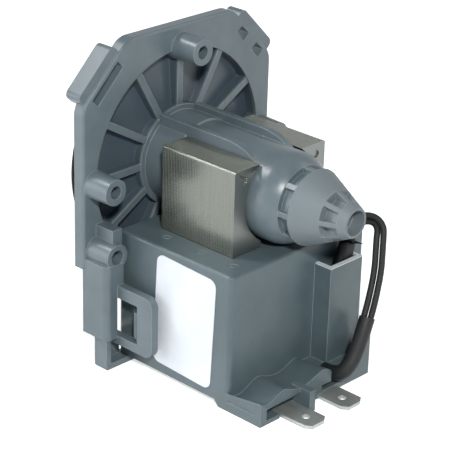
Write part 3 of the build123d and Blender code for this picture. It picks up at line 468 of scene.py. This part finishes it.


# %% [markdown]
# ## Patches of painted light
# Two small places get a colour unlike the rest of their moulding. The cone and the nose are
# rougher than the glossy can, and are painted paler: a painted light where the lamps fall on them.
# The thin lip of the pocket is painted near white: a painted highlight for the gleam on its rim.
# A box in Object coordinates marks such a place: for each point, the smallest distance to the
# box's six sides tells how deep inside it lies.

# %% Node group: patch mask
patch, entry, leave = new_group(
    "patch_mask",
    [
        ("Vector", VECTOR, None),
        ("Low", VECTOR, None),
        ("High", VECTOR, None),
        ("Soften", FLOAT, 0.0001),
    ],
    [("Mask", FLOAT)],
)
above = add_node(patch, "ShaderNodeVectorMath", operation="SUBTRACT")
below = add_node(patch, "ShaderNodeVectorMath", operation="SUBTRACT")
nearer = add_node(patch, "ShaderNodeVectorMath", operation="MINIMUM")
depths = add_node(patch, "ShaderNodeSeparateXYZ")
flat_depth = add_node(patch, "ShaderNodeMath", operation="MINIMUM")
depth = add_node(patch, "ShaderNodeMath", operation="MINIMUM")
fade = add_node(patch, "ShaderNodeMapRange")
join(
    patch,
    (entry.outputs["Vector"], above.inputs[0]),
    (entry.outputs["Low"], above.inputs[1]),
    (entry.outputs["High"], below.inputs[0]),
    (entry.outputs["Vector"], below.inputs[1]),
    (above.outputs[0], nearer.inputs[0]),
    (below.outputs[0], nearer.inputs[1]),
    (nearer.outputs[0], depths.inputs[0]),
    (depths.outputs["X"], flat_depth.inputs[0]),
    (depths.outputs["Y"], flat_depth.inputs[1]),
    (flat_depth.outputs[0], depth.inputs[0]),
    (depths.outputs["Z"], depth.inputs[1]),
    (depth.outputs[0], fade.inputs["Value"]),
    (entry.outputs["Soften"], fade.inputs["From Max"]),
    (fade.outputs[0], leave.inputs["Mask"]),
)
print("Group", patch.name, "has", len(patch.nodes), "nodes")


# %% [markdown]
# ## Plastics
# Every plastic on the pump is made the same way and differs in its values: two close colours
# that the cloud pattern mixes, a paler tint on the edges that is partly wear and partly painted
# highlight, a range of roughness and a grain. One function builds them. The painted shade of the
# recess and the patches of painted light are options, which mix in a second colour and
# roughness where their mask is 1. The pale edges are left out of the shaded recess, where they
# would draw pale lines round the ribs.
# A Mix node keeps the sockets of all its data types in one row, several with the same label. So
# the ones used here are told apart by their place in that row.

# %% How a moulded material is made
FACTOR, VALUE_A, VALUE_B, COLOUR_A, COLOUR_B = 0, 2, 3, 6, 7
MIXED_VALUE, MIXED_COLOUR = 0, 2


def second_colour_and_gloss(tree, mask, colour, roughness, second):
    """Colour and roughness that change to a second colour and roughness where the mask is 1; here
    each use paints light or shade.
    """
    mixed_colour = add_node(tree, "ShaderNodeMix", data_type="RGBA")
    mixed_colour.inputs[COLOUR_B].default_value = screen_colour(*second["colour"])
    mixed_gloss = add_node(tree, "ShaderNodeMix", data_type="FLOAT")
    mixed_gloss.inputs[VALUE_B].default_value = second["roughness"]
    join(
        tree,
        (mask, mixed_colour.inputs[FACTOR]),
        (mask, mixed_gloss.inputs[FACTOR]),
        (colour, mixed_colour.inputs[COLOUR_A]),
        (roughness, mixed_gloss.inputs[VALUE_A]),
    )
    return mixed_colour.outputs[MIXED_COLOUR], mixed_gloss.outputs[MIXED_VALUE]


def outside(tree, mask, value):
    """Value where the mask is 0, and 0 where the mask is 1."""
    rest = add_node(tree, "ShaderNodeMath", {0: 1.0}, operation="SUBTRACT")
    kept = add_node(tree, "ShaderNodeMath", operation="MULTIPLY")
    join(
        tree,
        (mask, rest.inputs[1]),
        (rest.outputs[0], kept.inputs[0]),
        (value, kept.inputs[1]),
    )
    return kept.outputs[0]


def moulded(
    name, dark, light, edge, gloss, grain_scale, grain_depth, radius, specular,
    shade_zone=None, place_patch=None,
):
    """Moulded material: clouded colour, paler edges (partly wear, partly painted highlight), fine
    grain, and painted light or shade in special places if given.
    """
    made, tree, surface = empty_material(name)
    place = add_node(tree, "ShaderNodeTexCoord")
    texture = add_node(tree, "ShaderNodeGroup", node_tree=grain)
    texture.inputs["Grain Scale"].default_value = grain_scale
    rim = add_node(tree, "ShaderNodeGroup", node_tree=edges)
    rim.inputs["Radius"].default_value = radius
    clouded = add_node(tree, "ShaderNodeMix", data_type="RGBA")
    clouded.inputs[COLOUR_A].default_value = screen_colour(*dark)
    clouded.inputs[COLOUR_B].default_value = screen_colour(*light)
    # Paler edge tint: partly wear, partly a painted highlight along the edges.
    wear_and_highlight_tint = add_node(tree, "ShaderNodeMix", data_type="RGBA")
    wear_and_highlight_tint.inputs[COLOUR_B].default_value = screen_colour(*edge)
    sheen = add_node(tree, "ShaderNodeMapRange", {"To Min": gloss[0], "To Max": gloss[1]})
    bump = add_node(tree, "ShaderNodeBump", {"Strength": 0.5, "Distance": grain_depth})
    shader = add_node(tree, "ShaderNodeBsdfPrincipled", {"Specular IOR Level": specular})
    colour, roughness = clouded.outputs[MIXED_COLOUR], sheen.outputs[0]
    wear_and_highlight_mask = rim.outputs["Edge"]
    # Painted shade in the recess, if given; the pale edges are left out there.
    if shade_zone:
        shade_zone_mask = add_node(tree, "ShaderNodeGroup", node_tree=recess)
        join(tree, (place.outputs["Object"], shade_zone_mask.inputs["Vector"]))
        in_shade_zone = shade_zone_mask.outputs["Mask"]
        colour, roughness = second_colour_and_gloss(tree, in_shade_zone, colour, roughness, shade_zone)
        wear_and_highlight_mask = outside(tree, in_shade_zone, wear_and_highlight_mask)
    # Painted light or a painted highlight inside a box, if given.
    if place_patch:
        patch_mask = add_node(tree, "ShaderNodeGroup", node_tree=patch)
        patch_mask.inputs["Low"].default_value = Vector(place_patch["low"]) * MM
        patch_mask.inputs["High"].default_value = Vector(place_patch["high"]) * MM
        patch_mask.inputs["Soften"].default_value = place_patch["soften"] * MM
        join(tree, (place.outputs["Object"], patch_mask.inputs["Vector"]))
        in_patch = patch_mask.outputs["Mask"]
        colour, roughness = second_colour_and_gloss(tree, in_patch, colour, roughness, place_patch)
    join(
        tree,
        (place.outputs["Object"], texture.inputs["Vector"]),
        (texture.outputs["Cloud"], clouded.inputs[FACTOR]),
        (colour, wear_and_highlight_tint.inputs[COLOUR_A]),
        (wear_and_highlight_mask, wear_and_highlight_tint.inputs[FACTOR]),
        (wear_and_highlight_tint.outputs[MIXED_COLOUR], shader.inputs["Base Color"]),
        (texture.outputs["Cloud"], sheen.inputs["Value"]),
        (roughness, shader.inputs["Roughness"]),
        (texture.outputs["Height"], bump.inputs["Height"]),
        (rim.outputs["Normal"], bump.inputs["Normal"]),
        (bump.outputs[0], shader.inputs["Normal"]),
        (shader.outputs[0], surface),
    )
    print(name, "has", len(tree.nodes), "nodes")
    return made


print("A moulded material combines the groups", grain.name, "and", edges.name)


# %% [markdown]
# ## The plastics of the pump
# The places with painted light or shade come first. The boxes of the two patches are in
# millimetres, measured from the origin of the frame. Then every plastic gets its own numbers.
# Flange and housing are nearly the same grey with a moderate gloss, the impeller and the coil
# bobbins are pale, and rubber, tubing and film are nearly black.

# %% Moulded plastics
CONE_START = 41.4
# Painted shade: the recess is painted darker and bluer where it lies in shade.
RECESS_PAINTED_SHADE = {"colour": (70, 82, 92), "roughness": 0.30}
# Painted light: the cone and nose are painted paler where the lamps fall on them; their higher
# roughness is real.
NOSE_ROUGH_AND_PAINTED_LIGHT = {
    "low": (CONE_START, -12.0, -12.0),
    "high": (54.0, 12.0, 12.0),
    "soften": 0.05,
    "colour": (112, 122, 128),
    "roughness": 0.52,
}
# Painted highlight: the pocket's lip is painted near white for the gleam on its rim.
LIP_PAINTED_HIGHLIGHT = {
    "low": (38.6, 4.0, -16.3),
    "high": (44.0, 17.0, -15.0),
    "soften": 0.1,
    "colour": (206, 213, 220),
    "roughness": 0.25,
}

finish = {}
finish["flange_plastic"] = moulded(
    "flange_plastic", dark=(93, 106, 113), light=(102, 115, 122), edge=(136, 147, 149),
    gloss=(0.28, 0.38), grain_scale=5200, grain_depth=0.00002, radius=0.00030, specular=0.5,
    shade_zone=RECESS_PAINTED_SHADE, place_patch=NOSE_ROUGH_AND_PAINTED_LIGHT,
)
finish["housing_plastic"] = moulded(
    "housing_plastic", dark=(80, 95, 101), light=(90, 104, 110), edge=(124, 137, 139),
    gloss=(0.30, 0.42), grain_scale=4200, grain_depth=0.00003, radius=0.00030, specular=0.5,
    place_patch=LIP_PAINTED_HIGHLIGHT,
)
finish["carrier_plastic"] = moulded(
    "carrier_plastic", dark=(46, 50, 54), light=(56, 60, 63), edge=(84, 88, 90),
    gloss=(0.45, 0.55), grain_scale=4200, grain_depth=0.00002, radius=0.00025, specular=0.5,
)
finish["impeller_plastic"] = moulded(
    "impeller_plastic", dark=(206, 206, 198), light=(222, 221, 212), edge=(236, 236, 230),
    gloss=(0.38, 0.48), grain_scale=5200, grain_depth=0.00001, radius=0.00030, specular=0.5,
)
finish["rotor_plastic"] = moulded(
    "rotor_plastic", dark=(176, 172, 160), light=(190, 186, 174), edge=(206, 203, 194),
    gloss=(0.42, 0.52), grain_scale=4200, grain_depth=0.00001, radius=0.00020, specular=0.5,
)
finish["bobbin_plastic"] = moulded(
    "bobbin_plastic", dark=(196, 192, 178), light=(208, 204, 190), edge=(224, 221, 210),
    gloss=(0.42, 0.52), grain_scale=4200, grain_depth=0.00001, radius=0.00020, specular=0.5,
)
finish["seal_rubber"] = moulded(
    "seal_rubber", dark=(24, 25, 27), light=(36, 37, 39), edge=(52, 53, 55),
    gloss=(0.66, 0.80), grain_scale=7000, grain_depth=0.00001, radius=0.00020, specular=0.3,
)
finish["bearing_carbon"] = moulded(
    "bearing_carbon", dark=(44, 44, 46), light=(66, 66, 68), edge=(96, 96, 98),
    gloss=(0.28, 0.42), grain_scale=3000, grain_depth=0.00001, radius=0.00015, specular=0.7,
)
finish["magnet_ferrite"] = moulded(
    "magnet_ferrite", dark=(44, 43, 45), light=(60, 58, 60), edge=(84, 82, 84),
    gloss=(0.52, 0.66), grain_scale=2600, grain_depth=0.00002, radius=0.00020, specular=0.4,
)
finish["lead_insulation"] = moulded(
    "lead_insulation", dark=(14, 15, 17), light=(24, 25, 28), edge=(24, 25, 27),
    gloss=(0.56, 0.68), grain_scale=6000, grain_depth=0.00001, radius=0.00005, specular=0.5,
)
finish["sleeve_tubing"] = moulded(
    "sleeve_tubing", dark=(14, 15, 17), light=(23, 25, 28), edge=(36, 38, 42),
    gloss=(0.48, 0.62), grain_scale=3200, grain_depth=0.00003, radius=0.00008, specular=0.5,
)
finish["cutout_wrap"] = moulded(
    "cutout_wrap", dark=(10, 11, 14), light=(20, 22, 26), edge=(30, 32, 36),
    gloss=(0.34, 0.50), grain_scale=900, grain_depth=0.00004, radius=0.00015, specular=0.25,
)


# %% [markdown]
# ## Metals
# The terminals are tinned brass, the shaft is ground steel and the windings are enamelled
# copper. Metal has no diffuse colour: what shows is the colour of its reflection, so Metallic
# stays at 1 and the streaks go into colour, roughness and a shallow bump. Only the tin is a
# little lower, because its dull skin scatters some light. A Mapping node squeezes the pattern
# across the direction in which the metal was drawn.

# %% Metals


def drawn_metal(name, dark, light, gloss, squeeze, line_depth, radius, metallic=1.0):
    """Metal with fine lines along one direction."""
    made, tree, surface = empty_material(name)
    place = add_node(tree, "ShaderNodeTexCoord")
    squeezed = add_node(tree, "ShaderNodeMapping", {"Scale": squeeze})
    pattern = add_node(tree, "ShaderNodeGroup", node_tree=drawn)
    rim = add_node(tree, "ShaderNodeGroup", node_tree=edges)
    rim.inputs["Radius"].default_value = radius
    tone = add_node(tree, "ShaderNodeMix", data_type="RGBA")
    tone.inputs[COLOUR_A].default_value = screen_colour(*dark)
    tone.inputs[COLOUR_B].default_value = screen_colour(*light)
    sheen = add_node(tree, "ShaderNodeMapRange", {"To Min": gloss[0], "To Max": gloss[1]})
    bump = add_node(tree, "ShaderNodeBump", {"Strength": 0.4, "Distance": line_depth})
    shader = add_node(tree, "ShaderNodeBsdfPrincipled", {"Metallic": metallic})
    join(
        tree,
        (place.outputs["Object"], squeezed.inputs["Vector"]),
        (squeezed.outputs[0], pattern.inputs["Vector"]),
        (pattern.outputs["Streak"], tone.inputs[FACTOR]),
        (tone.outputs[MIXED_COLOUR], shader.inputs["Base Color"]),
        (pattern.outputs["Streak"], sheen.inputs["Value"]),
        (sheen.outputs[0], shader.inputs["Roughness"]),
        (pattern.outputs["Height"], bump.inputs["Height"]),
        (rim.outputs["Normal"], bump.inputs["Normal"]),
        (bump.outputs[0], shader.inputs["Normal"]),
        (shader.outputs[0], surface),
    )
    print(name, "has", len(tree.nodes), "nodes")
    return made


finish["terminal_tin"] = drawn_metal(
    "terminal_tin", dark=(168, 173, 172), light=(196, 200, 198), gloss=(0.34, 0.48),
    squeeze=(2, 40, 10), line_depth=0.00001, radius=0.00015, metallic=0.7,
)
finish["shaft_steel"] = drawn_metal(
    "shaft_steel", dark=(172, 174, 176), light=(204, 206, 208), gloss=(0.14, 0.24),
    squeeze=(60, 2, 2), line_depth=0.000005, radius=0.00015,
)
finish["winding_copper"] = drawn_metal(
    "winding_copper", dark=(120, 62, 34), light=(176, 98, 56), gloss=(0.26, 0.40),
    squeeze=(1, 1, 60), line_depth=0.0001, radius=0.00020,
)


# %% [markdown]
# ## Sheet steel of the core
# The stack shows two surfaces of the same steel. Its sides are the punched and pressed rims of
# the sheets, smooth like satin. Its end is the flat face of one sheet, a little duller. Both
# mirror what stands before them: the left end mirrors the cone and the right end the white
# floor, so one looks dark and the other pale. The surface's own normal tells end, sides and top
# apart, and the top is less like a mirror than the rest. Each sheet is a mesh island of its own,
# so Random Per Island makes every sheet a trace lighter or darker than its neighbour.

# %% Core steel
END_FACING = 0.9
END_GLOSS = 0.34
ISLAND_SHARE = 0.35

core_steel, tree, surface = empty_material("core_steel")
place = add_node(tree, "ShaderNodeTexCoord")
squeezed = add_node(tree, "ShaderNodeMapping", {"Scale": (20, 3, 3)})
pattern = add_node(tree, "ShaderNodeGroup", node_tree=drawn)
own_surface = add_node(tree, "ShaderNodeNewGeometry")
own_normal = add_node(tree, "ShaderNodeSeparateXYZ")
along = add_node(tree, "ShaderNodeMath", operation="ABSOLUTE")
end_face = add_node(tree, "ShaderNodeMath", {1: END_FACING}, operation="GREATER_THAN")
sheet_tone = add_node(tree, "ShaderNodeMix", {FACTOR: ISLAND_SHARE}, data_type="FLOAT")
side_colour = add_node(tree, "ShaderNodeMix", data_type="RGBA")
side_colour.inputs[COLOUR_A].default_value = screen_colour(120, 124, 118)
side_colour.inputs[COLOUR_B].default_value = screen_colour(132, 137, 130)
steel_colour = add_node(tree, "ShaderNodeMix", data_type="RGBA")
steel_colour.inputs[COLOUR_B].default_value = screen_colour(130, 135, 133)
side_gloss = add_node(tree, "ShaderNodeMapRange", {"To Min": 0.20, "To Max": 0.26})
gloss = add_node(tree, "ShaderNodeMix", {VALUE_B: END_GLOSS}, data_type="FLOAT")
upward = add_node(tree, "ShaderNodeMath", operation="ABSOLUTE")
metal = add_node(tree, "ShaderNodeMapRange", {"To Min": 0.85, "To Max": 0.65})
bump = add_node(tree, "ShaderNodeBump", {"Strength": 0.15, "Distance": 0.000003})
shader = add_node(tree, "ShaderNodeBsdfPrincipled")
join(
    tree,
    (place.outputs["Object"], squeezed.inputs["Vector"]),
    (squeezed.outputs[0], pattern.inputs["Vector"]),
    (own_surface.outputs["True Normal"], own_normal.inputs[0]),
    (own_normal.outputs["X"], along.inputs[0]),
    (along.outputs[0], end_face.inputs[0]),
    (pattern.outputs["Streak"], sheet_tone.inputs[VALUE_A]),
    (own_surface.outputs["Random Per Island"], sheet_tone.inputs[VALUE_B]),
    (sheet_tone.outputs[MIXED_VALUE], side_colour.inputs[FACTOR]),
    (side_colour.outputs[MIXED_COLOUR], steel_colour.inputs[COLOUR_A]),
    (end_face.outputs[0], steel_colour.inputs[FACTOR]),
    (steel_colour.outputs[MIXED_COLOUR], shader.inputs["Base Color"]),
    (pattern.outputs["Streak"], side_gloss.inputs["Value"]),
    (side_gloss.outputs[0], gloss.inputs[VALUE_A]),
    (end_face.outputs[0], gloss.inputs[FACTOR]),
    (gloss.outputs[MIXED_VALUE], shader.inputs["Roughness"]),
    (own_normal.outputs["Z"], upward.inputs[0]),
    (upward.outputs[0], metal.inputs["Value"]),
    (metal.outputs[0], shader.inputs["Metallic"]),
    (pattern.outputs["Height"], bump.inputs["Height"]),
    (bump.outputs[0], shader.inputs["Normal"]),
    (shader.outputs[0], surface),
)
finish["core_steel"] = core_steel
print("core_steel has", len(tree.nodes), "nodes")


# %% [markdown]
# ## Label
# The label's place on the housing is a bare sheet of coated paper, faintly bluish. Coated paper is
# nearly matt, with very soft fibre clouds, and its film edge gets a pale tint, a painted
# highlight.

# %% Label paper
finish["label_paper"] = moulded(
    "label_paper", dark=(222, 227, 235), light=(230, 234, 240), edge=(240, 243, 248),
    gloss=(0.50, 0.60), grain_scale=2600, grain_depth=0.000004, radius=0.00008, specular=0.4,
)


# %% [markdown]
# ## Dress the CAD parts
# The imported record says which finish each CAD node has, so the materials are handed out by that
# list and nothing is forgotten. Only the object's material slots change. The meshes stay as
# they are.

# %% Hand out the materials
for subpart in frame["record"]["subparts"]:
    node = nodes[subpart["node"]]
    for material_slot in node.material_slots:
        material_slot.material = finish[subpart["material_slot"]]


# %% [markdown]
# ## Laminated core
# The core of an alternating-current motor is never one block. It is a pack of thin sheets, each
# half a millimetre thick and coated, so that no current can circle in the steel. Punching
# leaves every sheet with a slightly rounded rim, and these rims make the fine upright lines on
# the sides of the core.
# The CAD block already has the exact outline of the sheets. So one sheet is cut from a copy of it
# by bisection, its rims get a small bevel, and an Array modifier stacks it. The last sheet is cut
# separately, because only that one carries the two pressed marks.

# %% Laminated core
SHEET_COUNT = 45
SHEET_GAP = 0.02 * MM
SHEET_RIM = 0.03 * MM

core_block = nodes["stator_core"]


def select_alone(piece):
    """Make one object the only selected one, and the active one."""
    bpy.ops.object.select_all(action="DESELECT")
    piece.select_set(True)
    bpy.context.view_layer.objects.active = piece


def sheet_of_core(name, place, side):
    """End sheet of the CAD core, cut at a place along the pump axis, with rounded rims."""
    mesh = core_block.data.copy()
    mesh.transform(core_block.matrix_world)
    sheet = bpy.data.objects.new(name, mesh)
    bpy.context.scene.collection.objects.link(sheet)
    select_alone(sheet)
    bpy.ops.object.mode_set(mode="EDIT")
    bpy.ops.mesh.select_all(action="SELECT")
    bpy.ops.mesh.remove_doubles(threshold=0.000001)
    bpy.ops.mesh.dissolve_limited(angle_limit=radians(1))
    cut = {"plane_co": (place, 0, 0), "plane_no": (1, 0, 0), "use_fill": True, side: True}
    bpy.ops.mesh.select_all(action="SELECT")
    bpy.ops.mesh.bisect(**cut)
    bpy.ops.mesh.select_all(action="DESELECT")
    bpy.ops.mesh.edges_select_sharp(sharpness=radians(60))
    bpy.ops.mesh.bevel(offset=SHEET_RIM, segments=1, affect="EDGES")
    bpy.ops.object.mode_set(mode="OBJECT")
    return sheet


core_corners = [core_block.matrix_world @ Vector(corner) for corner in core_block.bound_box]
core_start = min(corner.x for corner in core_corners)
core_end = max(corner.x for corner in core_corners)
sheet_pitch = (core_end - core_start) / SHEET_COUNT

last_cut = core_end - sheet_pitch + SHEET_GAP
first_cut = core_start + sheet_pitch - SHEET_GAP
last_sheet = sheet_of_core("last_sheet", last_cut, "clear_inner")
core_stack = sheet_of_core("core_stack", first_cut, "clear_outer")
stack = core_stack.modifiers.new("stack", "ARRAY")
stack.count = SHEET_COUNT - 1
stack.use_relative_offset = False
stack.use_constant_offset = True
stack.constant_offset_displace = (sheet_pitch, 0, 0)
bpy.ops.object.modifier_apply(modifier=stack.name)
last_sheet.select_set(True)
bpy.ops.object.join()
bpy.ops.object.shade_smooth_by_angle(angle=radians(30))
core_stack.data.materials.clear()
core_stack.data.materials.append(finish["core_steel"])
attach(core_stack, "root")
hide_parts("stator_core")
print("Core of", SHEET_COUNT, "sheets,", len(core_stack.data.polygons), "faces")


# %% [markdown]
# ## Thermal cut-out
# Beside the nose, a thermal cut-out leans in its pocket. It opens the circuit if the motor gets
# too hot. It is a flat capsule in a black shrink film, which draws in over its rounded end and
# grips the leads. A cube at the capsule's size is turned to its lean. Its long edges are
# bevelled to a nearly round section, and the film's mouth is an inset that is pulled in.

# %% Thermal cut-out
CUTOUT_SIZE = (2.4 * MM, 4.6 * MM, 15.2 * MM)
CUTOUT_FOOT = Vector((40.8, 8.1, -26.65)) * MM
CUTOUT_LEAN = radians(20)
CUTOUT_CORNER = 0.95 * MM
FILM_RIM = 0.45 * MM
FILM_MOUTH = 0.35 * MM
FILM_ROUNDING = 0.25 * MM
ALONG_AXIS = 0.9

cutout_axis = Vector((0, sin(CUTOUT_LEAN), cos(CUTOUT_LEAN)))
bpy.ops.object.select_all(action="DESELECT")
bpy.ops.mesh.primitive_cube_add(
    size=1,
    location=CUTOUT_FOOT + cutout_axis * CUTOUT_SIZE[2] / 2,
    rotation=(-CUTOUT_LEAN, 0, 0),
    scale=CUTOUT_SIZE,
)
cutout = bpy.context.object
cutout.name = "wrapped_cutout"
bpy.ops.object.transform_apply(location=True, rotation=True, scale=True)
for edge in cutout.data.edges:
    first, second = (cutout.data.vertices[index].co for index in edge.vertices)
    edge.select = abs((second - first).normalized().dot(cutout_axis)) > ALONG_AXIS
for face in cutout.data.polygons:
    face.select = False
bpy.ops.object.mode_set(mode="EDIT")
bpy.ops.mesh.select_mode(type="EDGE")
bpy.ops.mesh.bevel(offset=CUTOUT_CORNER, segments=5, affect="EDGES")
bpy.ops.mesh.select_all(action="DESELECT")
bpy.ops.object.mode_set(mode="OBJECT")
for face in cutout.data.polygons:
    face.select = face.normal.dot(cutout_axis) > ALONG_AXIS
bpy.ops.object.mode_set(mode="EDIT")
bpy.ops.mesh.select_mode(type="FACE")
bpy.ops.mesh.inset(thickness=FILM_RIM, depth=0)
bpy.ops.mesh.inset(thickness=FILM_MOUTH, depth=-FILM_MOUTH)
bpy.ops.object.mode_set(mode="OBJECT")
round_off = cutout.modifiers.new("round_off", "BEVEL")
round_off.width = FILM_ROUNDING
round_off.segments = 3
round_off.angle_limit = radians(50)
bpy.ops.object.modifier_apply(modifier=round_off.name)
bpy.ops.object.shade_smooth_by_angle(angle=radians(40))
cutout.data.materials.clear()
cutout.data.materials.append(finish["cutout_wrap"])
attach(cutout, "root")
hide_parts("thermal_cutout")
print("Cut-out has", len(cutout.data.polygons), "faces")


# %% [markdown]
# ## Leads
# Two thin leads leave the top of the thermal cut-out, bend over the pocket's rim in a small arch
# and run side by side down into the terminal block. A soft lead has no straight stretches, so
# each one is a single NURBS spline: its control points pull on the line without it passing
# through them. The points are those of the CAD route, in the middle between the two leads, and
# each lead is moved half a pitch sideways.

# %% Leads
LEAD_DIAMETER = 1.45 * MM
LEAD_PITCH = 1.55 * MM
LEAD_SIDE = Vector((-0.5, 0.85, 0))
LEAD_ROUTE = [
    (40.8, 13.3, -12.37),
    (40.8, 14.16, -10.02),
    (41.28, 15.25, -8.07),
    (43.03, 16.47, -6.94),
    (45.27, 17.05, -6.94),
    (47.16, 16.77, -8.07),
    (47.96, 15.73, -10.0),
    (48.3, 15.3, -13.2),
    (48.7, 14.8, -17.4),
    (49.2, 13.3, -21.6),
    (49.8, 11.4, -25.5),
    (50.2, 9.4, -29.2),
    (50.3, 6.9, -34.7),
    (50.1, 4.9, -37.6),
    (48.9, 3.7, -39.6),
    (46.3, 3.35, -40.45),
    (43.9, 3.35, -40.45),
]


def beside(route, shift):
    """Route in metres, moved sideways for a lead that lies beside its twin."""
    spots = [Vector(spot) * MM for spot in route]
    moved = []
    for index, spot in enumerate(spots):
        ahead = spots[min(index + 1, len(spots) - 1)]
        behind = spots[max(index - 1, 0)]
        sideways = (ahead - behind).cross(LEAD_SIDE).normalized()
        moved.append(spot + sideways * shift)
    return moved


def soft_line(name, points, radius, capped):
    """Round cord on one NURBS spline with the points as its control points."""
    line = bpy.data.curves.new(name, "CURVE")
    line.dimensions = "3D"
    line.bevel_depth = radius
    line.bevel_resolution = 6
    line.resolution_u = 12
    line.use_fill_caps = capped
    spline = line.splines.new("NURBS")
    spline.points.add(len(points) - 1)
    for control, point in zip(spline.points, points):
        control.co = (*point, 1)
    spline.order_u = 3
    spline.use_endpoint_u = True
    made = bpy.data.objects.new(name, line)
    bpy.context.scene.collection.objects.link(made)
    return made


lead_routes = [beside(LEAD_ROUTE, shift) for shift in (-LEAD_PITCH / 2, LEAD_PITCH / 2)]
for number, route in enumerate(lead_routes, start=1):
    lead = soft_line(f"soft_lead_{number}", route, LEAD_DIAMETER / 2, True)
    lead.data.materials.append(finish["lead_insulation"])
    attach(lead, "root")
    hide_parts(f"cutout_lead_{number}")
    print(lead.name, "has", len(route), "control points")


# %% [markdown]
# ## Sleeve over the leads
# A soft tube guards the lower half of the leads, where they rub on the terminal block. Its line is
# the lower end of the same spline, so the leads stay in its middle. A curve with a round bevel
# gives the outside. Turned into a mesh, it gets a wall by Solidify, which also closes the ends.

# %% Sleeve
SLEEVE_RADIUS = 1.8 * MM
SLEEVE_WALL = 0.22 * MM
BARE_POINT_COUNT = 11

last_bare = Vector(LEAD_ROUTE[BARE_POINT_COUNT - 1]) * MM
centre_line = [Vector(spot) * MM for spot in LEAD_ROUTE[BARE_POINT_COUNT:]]
centre_line.insert(0, (last_bare + centre_line[0]) / 2)
sleeve = soft_line("soft_sleeve", centre_line, SLEEVE_RADIUS, False)
select_alone(sleeve)
bpy.ops.object.convert(target="MESH")
bpy.ops.object.mode_set(mode="EDIT")
bpy.ops.mesh.select_all(action="SELECT")
bpy.ops.mesh.remove_doubles(threshold=0.00001)
bpy.ops.mesh.normals_make_consistent(inside=False)
bpy.ops.object.mode_set(mode="OBJECT")
wall = sleeve.modifiers.new("wall", "SOLIDIFY")
wall.thickness = SLEEVE_WALL
wall.offset = -1
bpy.ops.object.modifier_apply(modifier=wall.name)
bpy.ops.object.shade_smooth_by_angle(angle=radians(40))
sleeve.data.materials.clear()
sleeve.data.materials.append(finish["sleeve_tubing"])
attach(sleeve, "root")
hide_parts("lead_sleeve")

print("Sleeve has", len(sleeve.data.polygons), "faces")
